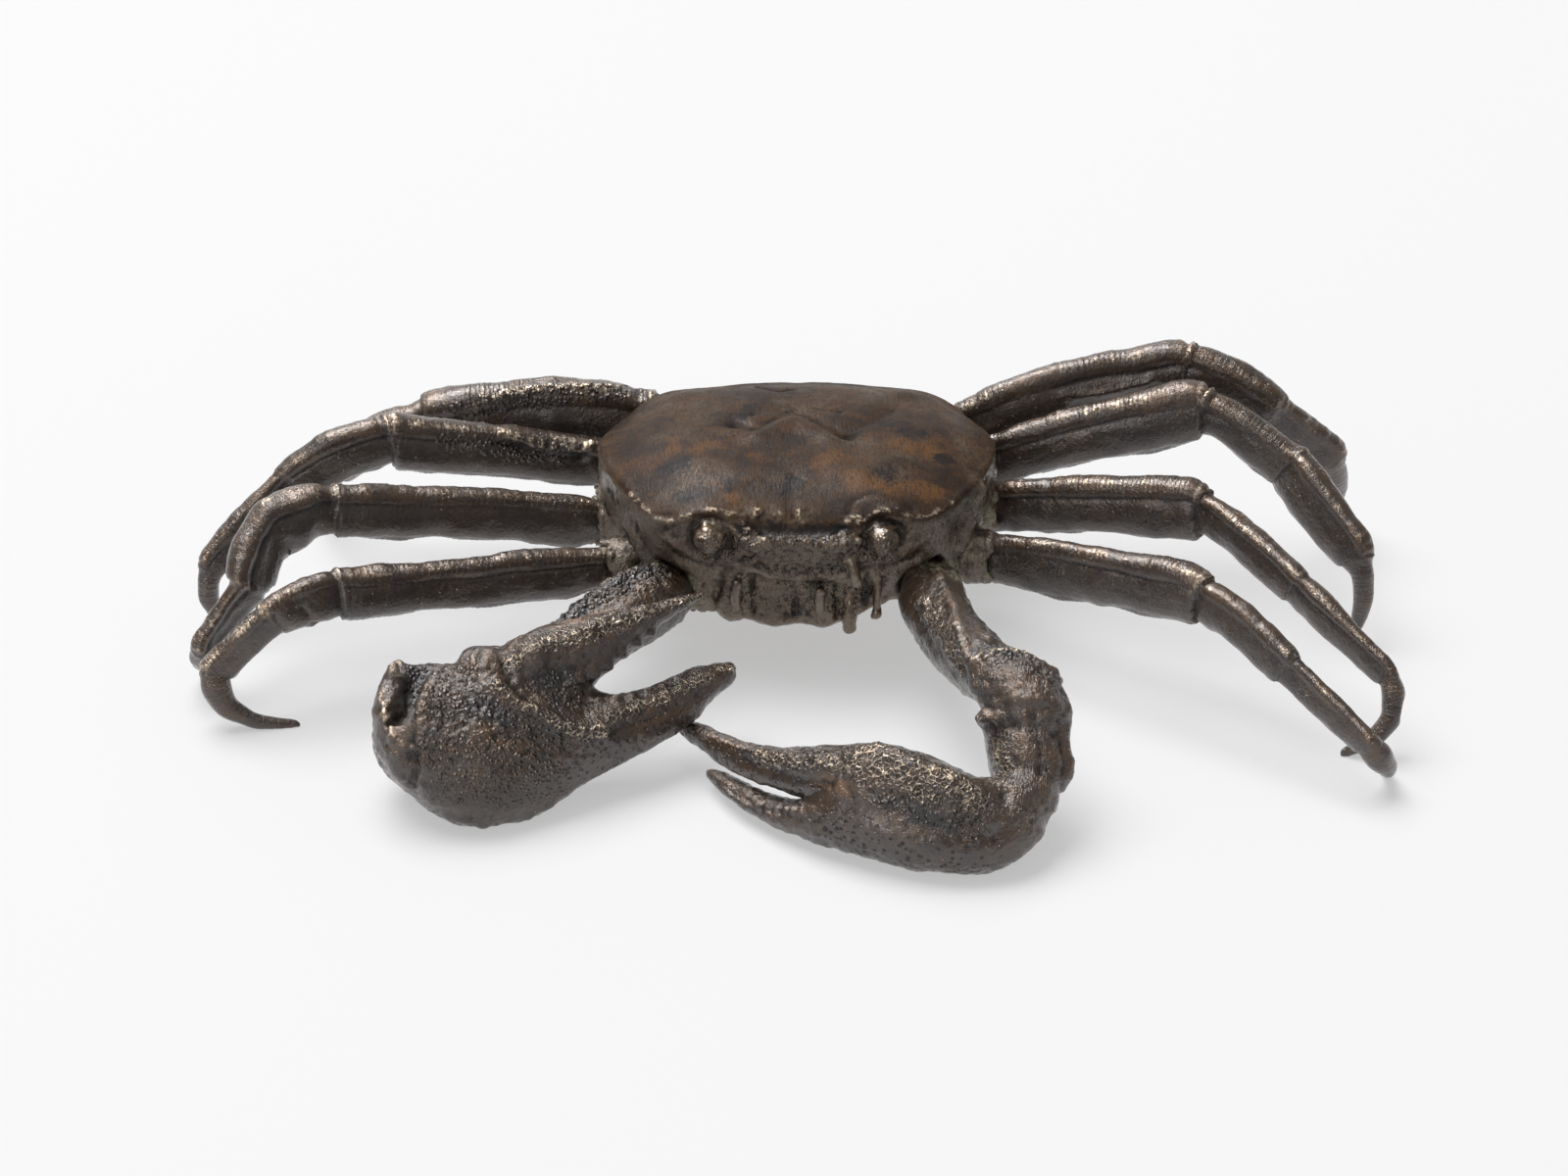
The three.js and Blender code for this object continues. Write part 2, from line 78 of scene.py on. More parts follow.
# The palps beside the eyes and the mouth, given in the same way.
FACE_PALPS = [
    ([(4.4, -22.6, 24.3), (6.3, -23.1, 24.3), (8.0, -22.7, 24.6)], 0.95, 0.8),
    ([(-4.6, -22.5, 24.0), (-6.4, -23.0, 24.1), (-8.0, -22.6, 24.6)], 0.9, 0.7),
    ([(-12.6, -17.8, 15.6), (-12.8, -17.3, 13.4), (-12.4, -16.4, 11.8)], 0.8, 0.6),
]
# Drops at the rods' ends, and one palp's tip: place, radius.
FACE_BEADS = [((11.5, -19.3, 11.2), 0.72), ((7.6, -19.4, 9.0), 0.66), ((8.9, -23.0, 24.8), 0.6)]


# ---------------------------------------------------------------- limbs

# A leg has four segments: the long first one, and these three after it.
CARPUS, PROPODUS, DACTYL = 1, 2, 3

# The legs' joints from root to tip.
LEG_JOINTS = {
    "leg_left_1": [(27.5, -9.6, 14.5), (57.8, -29.4, 18.8), (69.6, -41.4, 14.3), (80, -52.6, 8.6),
                   (83.4, -45.4, 0)],
    "leg_left_2": [(28.8, 2.4, 16), (58.8, -11.6, 23.2), (71.6, -26.2, 19), (84, -39.2, 11.8),
                   (77.6, -41.2, 0)],
    "leg_left_3": [(27.5, 12.6, 18.2), (60, 9.2, 28.8), (72.4, 2.8, 22.8), (82.2, -8.6, 14),
                   (80.9, -9.8, 0)],
    "leg_left_4": [(21.5, 18.5, 19.4), (57.8, 20, 30), (70.4, 16.4, 24.6), (80, 18, 15.6), (80.9, 27.6, 0)],
    "leg_right_1": [(-26.8, -12.6, 14.5), (-66, -25.9, 17.8), (-75, -31, 16.6), (-83.4, -33, 9),
                    (-72.4, -33.1, 0)],
    "leg_right_2": [(-28, -0.8, 16), (-67.2, -11.8, 23.4), (-79.2, -22.4, 17), (-85.4, -25.8, 8.6),
                    (-84, -15, 0)],
    "leg_right_3": [(-27.2, 12.3, 18), (-59.6, 4.8, 25.6), (-74.4, 1.4, 20.8), (-86, -5.4, 10.6),
                    (-84.6, -5.4, 0)],
    "leg_right_4": [(-21, 18.8, 23.4), (-56, 18.5, 19.8), (-63.7, 16.9, 18.8), (-69.4, 21.7, 12),
                    (-69.1, 30.4, 0)],
}
# The places that pull each leg's last segment outwards, and one leg's second segment upwards.
LEG_BENDS = {
    "leg_left_1": (84.8, -52.6, 3.4),
    "leg_left_2": (87.4, -43.5, 5.4),
    "leg_left_3": (84.4, -11.8, 7),
    "leg_left_4": (82.6, 21.4, 7.5),
    "leg_right_1": (-84.4, -35, 1.2),
    "leg_right_2": (-88, -23, 3.4),
    "leg_right_3": (-88, -6.5, 4.5),
    "leg_right_4": (-73, 25.6, 4.4),
}
CARPUS_BENDS = {"leg_right_2": (-78.6, -14.8, 26)}

# How far the other segments' middle lines are pulled up.
SEGMENT_ARCHES = [1.0, 1.4, 0.6, 0.0]

# Half of a leg's section, from the crest down to the lower edge, in half thicknesses and half heights:
# a rounded roll, a groove under it, and a flat side.
BLADE_SECTION = [(0, 1), (0.36, 0.97), (0.62, 0.86), (0.72, 0.7), (0.7, 0.57), (0.66, 0.5), (0.74, 0.36),
                 (0.84, 0.1), (0.9, -0.2), (0.9, -0.5), (0.76, -0.8), (0.42, -0.97), (0, -1)]

# A leg's edge is read in slots of half a millimetre, of which the thinly filled are skipped. Notches that
# reach up to NOTCH_REACH slots to both sides are filled, and the edge is evened out with EDGE_WEIGHTS.
SLOTS_PER_MM = 2
LEAST_IN_SLOT = 12
NOTCH_REACH = 5
EDGE_WEIGHTS = np.array([0.1, 0.2, 0.4, 0.2, 0.1])

# Percentiles that stand for a section's lower edge, crest and side.
LOWER_PERCENTILE = 1
CREST_PERCENTILE = 99
SIDE_PERCENTILE = 98

# The least distance from the middle line, in half sections, that pressing counts with, how many times
# as far out it may bring a point, and how far past a leg's ends it fades.
LEAST_SPAN = 0.2
PRESS_LIMITS = (0.5, 1.6)
PRESS_FADE = 0.9

# Levels run from -1 at a blade's lower edge to 1 at its crest. Each form: its level, its half width.
GROOVE_LEVEL, GROOVE_WIDTH = 0.5, 0.09
RIDGE_LEVEL, RIDGE_WIDTH = -0.2, 0.16
LIGHT_LEVEL, LIGHT_WIDTH = 0.92, 0.08

# How large the step is at each of a leg's joints after its first segment.
JOINT_SIZES = (1.0, 0.6, 0.3)

# Where the limbs' middle lines leave the body.
ROOTS = {
    "leg_left_1": (25.6, -9.4, 14.6),
    "leg_left_2": (26.4, 2, 16.2),
    "leg_left_3": (25.4, 11.6, 17.2),
    "leg_left_4": (20.4, 16.6, 18.4),
    "leg_right_1": (-25.2, -11.6, 14.6),
    "leg_right_2": (-26.2, -0.6, 16.2),
    "leg_right_3": (-25.4, 11.4, 17.2),
    "leg_right_4": (-20.2, 16.6, 18.8),
    "claw_left": (17.6, -12.8, 14),
    "claw_right": (-16.6, -14.4, 14.2),
}

# How much rounding off a casting's corners takes from its size, in millimetres. It is given back.
SHELL_SWELL = 0.12
CLAW_SWELL = 0.25
LEG_SWELL = 0.15

# Solder collars round the limbs' roots: centre, radius across, radius up, how much solder.
COLLARS = {
    "leg_left_1": ((29.6, -10.8, 14.9), 2.6, 3.6, 1.0),
    "leg_left_2": ((30.4, 1.8, 16.4), 2.8, 4.0, 0.9),
    "leg_left_3": ((29.6, 12.4, 18.6), 2.8, 4.2, 0.7),
    "leg_left_4": ((24.2, 18.8, 20.4), 2.8, 4.2, 0.5),
    "leg_right_1": ((-28.8, -13.2, 14.8), 2.6, 3.6, 0.8),
    "leg_right_2": ((-30.2, -1.2, 16.4), 2.8, 4.0, 0.8),
    "leg_right_3": ((-29.4, 12, 18.4), 2.8, 4.2, 0.6),
    "leg_right_4": ((-24.4, 18.8, 23.2), 3.0, 5.0, 0.5),
    "claw_left": ((20.2, -16.6, 15.4), 4.4, 4.8, 1.0),
    "claw_right": ((-17.4, -17.4, 13.6), 4.4, 4.8, 0.8),
}
COLLAR_BEADS = 16

# Where each casting's random numbers start. Its parts add steps of their own.
COLLAR_SEED = 50
BODY_FORM_SEED = 90
BODY_STROKE_SEED = 100
BODY_GRAIN_SEED = 200
PATCH_SEED = 71
CLAW_SEEDS = {"claw_left": 300, "claw_right": 400}
LEG_SEEDS = {name: 600 + 40 * number for number, name in enumerate(LEG_JOINTS)}
STROKE_SEED_STEP = 11

# ---------------------------------------------------------------- strokes

# The joints of the tail plate under the body: half a joint's width, and its place from front to rear.
TAIL_JOINTS = [(4.8, 12), (4.4, 7.6), (4, 3.2), (3.2, -1.2)]

# The seams between the plates that carry the legs, under the body.
PLATE_SEAMS = [
    [(-6, 11, 8), (-16, 14, 9.4), (-22, 15, 12)],
    [(-6, 4, 8), (-16, 5, 9), (-25, 5, 12)],
    [(-5, -3, 8), (-15, -5.6, 9), (-24, -6.4, 12)],
    [(-4, -8.4, 8), (-12, -13, 9), (-19, -15, 12)],
    [(6, 11, 8), (16, 14, 9.4), (22, 15, 12)],
    [(6, 4, 8), (16, 5, 9), (25, 5, 12)],
    [(5, -3, 8), (15, -4.6, 9), (24, -4.6, 12)],
    [(4, -8.4, 8), (12, -12, 9), (19, -13, 12)],
]

# Each stroke: what it does, its half width and its height in millimetres, and its path. Ridges, rims,
# teeth, dabs and solder stand out by their height, and grooves sink in by it. Rims also mark polished metal
# and painted highlight. Granules, combs, pits and folds lay down a relief that the material refines. Rust
# and blue patches only colour; the blue also paints shade in some hollows and under the front edge. Calm
# smooths. Forms are large strokes that go before the others, in FORM_PASSES equal passes.
FORM_PASSES = 3
BODY_FORMS = [
    ("ridge", 2.6, 0.5, [(-11.4, -17, 11.4), (-6, -17.4, 10.2), (0, -17.6, 9.8), (6.6, -17, 10.6)]),
    ("ridge", 2.4, 0.16, [(-6, -3.4, 31), (-3.3, -0.8, 31.2), (-0.6, 0.6, 31.2), (2, -0.8, 31.2),
                          (4.7, -3.8, 31.2)]),
    ("groove", 1.5, 0.2, [(-9.1, 0.8, 31), (-6, -0.4, 31.2), (-3.3, 2.4, 31.2), (-0.6, 4.3, 31.2),
                          (2, 2.4, 31.2), (4.7, -1.1, 31.2), (6.9, -2.7, 31.1)]),
    ("groove", 2.6, 0.12, [(8, -2, 31.1), (12.4, 3.1, 30.8), (15.7, 10.7, 29.7)]),
    ("ridge", 3.0, 0.1, [(-14, -9, 30.6), (-8, -13, 30.6)]),
    ("ridge", 3.0, 0.1, [(14, -9, 30.6), (8, -13, 30.6)]),
    ("groove", 1.1, 0.2, [(-15.4, -20.6, 24.6), (-12.9, -20.8, 26.9), (-10.1, -21.4, 25.6),
                          (-9.8, -21.6, 23.2)]),
    ("groove", 1.1, 0.2, [(9.6, -21.6, 23.2), (9.9, -21.4, 25.4), (12.4, -21, 26.8), (15, -20.8, 24.8)]),
    ("groove", 1.0, 0.18, [(-7.2, -21.8, 26.2), (-3.6, -22.4, 26), (0, -22.6, 25.9), (3.4, -22.4, 26),
                           (6.4, -22, 26.2)]),
    ("groove", 1.3, 0.2, [(-27, -5, 23), (-25, -10, 19.4), (-23, -13.4, 16)]),
    ("ridge", 1.2, 0.2, [(-25.6, -10.4, 22.6), (-23.4, -13.6, 19), (-20, -15.4, 15.4)]),
    ("groove", 1.2, 0.2, [(-23.6, -13.6, 22.4), (-20.6, -16.4, 18.4), (-17, -17.6, 15)]),
    ("ridge", 1.6, 0.25, [(26.6, -8.8, 25.2), (25.6, -11.2, 22), (24.2, -12.6, 18)]),
    ("groove", 1.4, 0.2, [(24.6, -13.4, 24.4), (22.4, -15.4, 20.4), (19.4, -16.4, 16.4)]),
]

BODY_STROKES = [
    ("ridge", 0.75, 0.22, [(-28.6, 3, 26.2), (-28.2, -2.1, 26.4), (-25.6, -8.7, 26.7),
                           (-23.9, -12.8, 26.7)]),
    ("rim", 0.6, 0.3, [(-23.9, -12.8, 26.7), (-22.1, -16.5, 26.7), (-20.5, -18.7, 26.0),
                       (-18.7, -19.9, 26.0)]),
    ("rim", 0.7, 0.45, [(-18.7, -19.9, 26.0), (-16.5, -20.5, 27), (-14.3, -20.3, 27.8), (-12.5, -20.2, 28.3),
                        (-10.3, -20.4, 27.9), (-8.1, -21.0, 27.2), (-7.3, -21.8, 26.4)]),
    ("rim", 0.6, 0.3, [(19.6, -18.7, 26.9), (20.5, -17.9, 27), (22.2, -15.6, 26.8)]),
    ("ridge", 0.65, 0.25, [(22.2, -15.6, 26.8), (25.6, -9, 26.7), (27.5, -4.6, 26.6), (28.6, 1, 26.4)]),
    ("rim", 0.7, 0.45, [(6.8, -21.4, 26.9), (8.3, -20.9, 27.4), (9.4, -21.3, 27.1), (11.8, -20.5, 28.1),
                        (14.3, -20.3, 27.9), (16.9, -20.5, 26.8), (19.6, -18.7, 26.9)]),
    ("groove", 0.55, 0.3, [(7.5, -19.9, 27.7), (8.3, -18.3, 28.5), (11.6, -17.4, 29.2), (14.6, -17.9, 28.8),
                           (16.6, -19.2, 27.9)]),
    ("ridge", 1.6, 0.35, [(9.6, -19.2, 28.8), (11.6, -18.9, 29.1), (13.9, -19.2, 28.7)]),
    ("granules", 1.3, 0.5, [(-7.3, -22.3, 24.5), (-4.1, -22.9, 23.8), (0, -22.9, 23.5), (3.7, -23, 23.6),
                            (6.2, -22.5, 24.4)]),
    ("rim", 0.7, 0.4, [(-7, -22.4, 24.6), (-3.6, -23, 23.9), (0.4, -23, 23.6), (4, -23, 23.8),
                       (6.4, -22.6, 24.6)]),
    # Three lobes on the front edge, whose polish is painted highlight, and painted shade on the steep slope
    # under them.
    ("rim", 1.2, 0.5, [(-5.9, -20.3, 27.9)]),
    ("rim", 1.1, 0.45, [(-2.9, -20.8, 27.5)]),
    ("rim", 1.5, 0.55, [(0.8, -20.6, 27.6)]),
    ("blue", 1.3, 0.0, [(-8, -21.8, 26.2), (-3.6, -22.4, 25.9), (0, -22.6, 25.8), (3.4, -22.4, 25.9),
                        (7, -22, 26.2)]),
    ("groove", 0.9, 0.12, [(-0.9, -21, 27.2), (-0.8, -17.5, 29.1), (-0.6, -13, 30.1)]),
    # The grooves between the stomach and heart regions, with the raised lip in front of them.
    ("groove", 1.3, 0.3, [(-9.1, 0.5, 31), (-6, -1, 31.2), (-3.3, 1.8, 31.2), (-0.6, 3.7, 31.2),
                          (2, 1.8, 31.2), (4.7, -1.7, 31.2), (6.9, -3.3, 31.1), (9.2, 0, 31.1),
                          (12.4, 3.1, 30.8), (15.7, 10.7, 29.7)]),
    ("ridge", 1.9, 0.3, [(-9.3, -2.2, 31), (-6, -2.9, 31.2), (-3.3, 0, 31.2), (-0.6, 1.9, 31.2),
                         (2, 0, 31.2), (4.7, -3.5, 31.2), (6.9, -5.1, 31.1)]),
    ("groove", 1.0, 0.25, [(-9.2, -3.4, 31), (-6.6, -2.4, 31.1)]),
    ("groove", 0.8, 0.2, [(-13.4, 2.6, 30.7), (-11.4, 1.8, 30.9)]),
    ("groove", 0.9, 0.3, [(-6.6, 3.6, 31.1), (-3.4, 4.6, 31.1), (1, 5.6, 31.1), (6, 4.6, 31.1)]),
    ("groove", 0.5, 0.35, [(-6, 15.6, 29.7), (-3.3, 12.2, 30.5), (-0.6, 13.2, 30.4)]),
    ("groove", 2.2, 0.12, [(22.5, -11.6, 28.2), (18.6, -8, 29.8), (14.2, -3.8, 30.7)]),
    ("ridge", 0.7, 0.35, [(-23.5, 13, 26.2), (-13, 19.2, 26.9), (0, 20.1, 27.2), (13, 19.2, 26.9),
                          (23.5, 13, 26.2)]),
    ("groove", 0.8, 0.3, [(-22.5, 11.6, 27.3), (-12.6, 17.4, 28.2), (0, 18.2, 28.4), (12.6, 17.4, 28.2),
                          (22.5, 11.6, 27.3)]),
    # Dark and rusty patches on the shell.
    ("blue", 2.2, 0.0, [(-0.7, -15.9, 29.9), (-1, -11.6, 30.4)]),
    ("blue", 2.4, 0.0, [(-18.4, -10.6, 29.5), (-16.6, -9.3, 30.1)]),
    ("blue", 2.6, 0.0, [(-22, -14.6, 28), (-18.6, -16.4, 28.4), (-13.6, -16.6, 29)]),
    ("blue", 1.8, 0.0, [(-10.4, -16, 30)]),
    ("blue", 2.4, 0.0, [(12.6, -13.6, 30.1), (15.7, -10.7, 30.1)]),
    ("blue", 2.0, 0.0, [(21.6, -6.9, 29)]),
    ("blue", 2.2, 0.0, [(-5.1, 6.2, 31.1), (-10, 1, 30.9)]),
    ("blue", 2.0, 0.0, [(17.4, -1, 30.4), (13, 0.6, 31)]),
    ("rust", 2.6, 0.0, [(-24.6, -6.9, 28), (-21.5, -7.6, 28.9), (-18, -4.6, 30)]),
    ("rust", 2.8, 0.0, [(11.4, -4.4, 30.8), (16.3, -5, 30.5), (20.6, -5.6, 29.4)]),
    ("rust", 2.6, 0.0, [(8.2, -14.7, 30.3), (13.8, -15.6, 29.6), (19.2, -15.1, 28.5)]),
    ("rust", 2.8, 0.0, [(-14.2, -6, 30.5), (-10, -7.6, 30.9), (-6.9, -8.8, 31.1)]),
    ("rust", 2.2, 0.0, [(3.6, -11.6, 30.6), (6.6, -8.6, 31)]),
    ("rust", 2.0, 0.0, [(-12.6, -19, 28.6), (-9.6, -18.4, 29)]),
    # The face: ridges under the eyes, the edge of the mouth frame and its plates.
    ("ridge", 0.8, 0.6, [(-18.5, -18.9, 23.6), (-16.5, -20.1, 22), (-13.9, -19.9, 20.5),
                         (-10.8, -20.8, 20.4), (-8.1, -21.8, 22.4)]),
    ("ridge", 0.8, 0.6, [(18.5, -18.6, 23.6), (16.5, -19.9, 22), (13.9, -19.9, 20.5), (10.9, -20.8, 20.4)]),
    ("groove", 0.7, 0.5, [(-17.5, -18.9, 20.6), (-13.6, -19.2, 18.6), (-9.9, -20.2, 18.4)]),
    ("groove", 0.7, 0.5, [(17.3, -18.8, 20.6), (13.4, -19.2, 18.6), (10.2, -20.0, 18.4)]),
    ("granules", 1.2, 0.6, [(-6.8, -21.9, 21.2), (-3.3, -21.7, 19.4), (0.2, -21.4, 18.8), (4.6, -21.6, 19.0),
                            (7.2, -22, 19.4)]),
    ("ridge", 0.6, 0.6, [(-6.8, -21.9, 20.6), (-3.3, -21.6, 18.8), (0.2, -21.3, 18.1), (4.6, -21.5, 18.3)]),
    ("groove", 0.6, 0.7, [(-6.6, -21.0, 17.6), (-3.3, -20.8, 16.6), (0.2, -20.6, 16.2), (4.8, -20.8, 16.4)]),
    ("groove", 0.5, 0.7, [(-6.7, -20.8, 17.2), (-6.6, -19.2, 13), (-6.2, -17.6, 10.6)]),
    ("groove", 0.5, 0.7, [(-0.4, -20.6, 16.4), (-0.3, -19.3, 13), (-0.2, -18.2, 10.4)]),
    ("groove", 0.5, 0.7, [(5.4, -20.6, 16.6), (5.4, -19.2, 13), (5.2, -17.8, 10.6)]),
    ("groove", 0.55, 0.6, [(-10.9, -19.6, 17.4), (-10.9, -18.4, 14), (-10.4, -17.2, 11.6)]),
    ("groove", 0.55, 0.6, [(10.2, -19.6, 17.4), (10.0, -18.4, 14), (9.8, -17.2, 11.6)]),
    ("ridge", 0.6, 0.45, [(-12.6, -16.6, 11.0), (-6, -18.2, 10.0), (0, -18.6, 9.6), (6, -18.2, 9.8),
                          (12.4, -16.6, 10.8)]),
    # The flanks: folds that run down to the legs.
    ("ridge", 0.7, 0.5, [(-26.4, -8.4, 23.0), (-24.6, -11.6, 20.0), (-22.4, -14.4, 17.2),
                         (-20.3, -14.6, 14)]),
    ("groove", 0.7, 0.5, [(-27.6, -4.4, 22.6), (-25.6, -9.4, 19), (-23.6, -12.6, 16)]),
    ("ridge", 0.7, 0.4, [(-28.4, 0, 22.4), (-27.2, -5.8, 18.4)]),
    ("ridge", 1.0, 0.7, [(26.6, -8.8, 25.2), (25.6, -11.2, 22), (24.2, -12.6, 18)]),
    ("groove", 0.8, 0.5, [(28, -4.4, 24), (27.2, -8.0, 20.6), (25.6, -10.6, 17)]),
    ("ridge", 0.8, 0.5, [(28.8, 0.6, 23.2), (28.6, -2.6, 19.6)]),
    ("granules", 2.6, 0.3, [(-12, -20, 21.6), (-8, -20.6, 22.6), (0, -21.6, 21.4), (8, -20.8, 22.6),
                            (12, -20, 21.6)]),
    ("granules", 3.0, 0.1, [(-8, -18.6, 14), (0, -19, 14), (8, -18.6, 14)]),
    # Solder at the roots.
    ("solder", 2.2, 0.35, [(28.4, -1.6, 16.8), (27.4, -8, 17.5), (24.7, -13.1, 16.2), (20.6, -14.9, 13.4)]),
    ("solder", 1.4, 0.3, [(28.6, 4.5, 19.6), (28.4, 0.4, 20.6)]),
    ("solder", 1.8, 0.3, [(-26.8, -7.6, 17), (-26, -13.1, 16.3), (-21.3, -16.2, 14.7)]),
    ("solder", 1.6, 0.3, [(-27.2, 4.4, 20), (-27.6, -1, 20.6)]),
    ("solder", 1.5, 0.25, [(-13.4, -17.6, 12.6), (-16, -18, 15.4)]),
    ("solder", 1.6, 0.25, [(23.5, 17.4, 21.4), (18, 19.8, 22)]),
    ("solder", 1.6, 0.25, [(-23.5, 17.4, 21.6), (-18, 19.8, 22)]),
    # The underside: the tail plate with its joints, and the seams between the legs' plates.
    ("ridge", 0.9, 0.5, [(-5.6, 16, 8.6), (-4.4, 4, 7.8), (-2.2, -7, 7.8), (0, -9.6, 8), (2.2, -7, 7.8),
                         (4.4, 4, 7.8), (5.6, 16, 8.6)]),
    *[("groove", 0.5, 0.4, [(-half, y, 8), (half, y, 8)]) for half, y in TAIL_JOINTS],
    *[("groove", 0.6, 0.5, seam) for seam in PLATE_SEAMS],
]

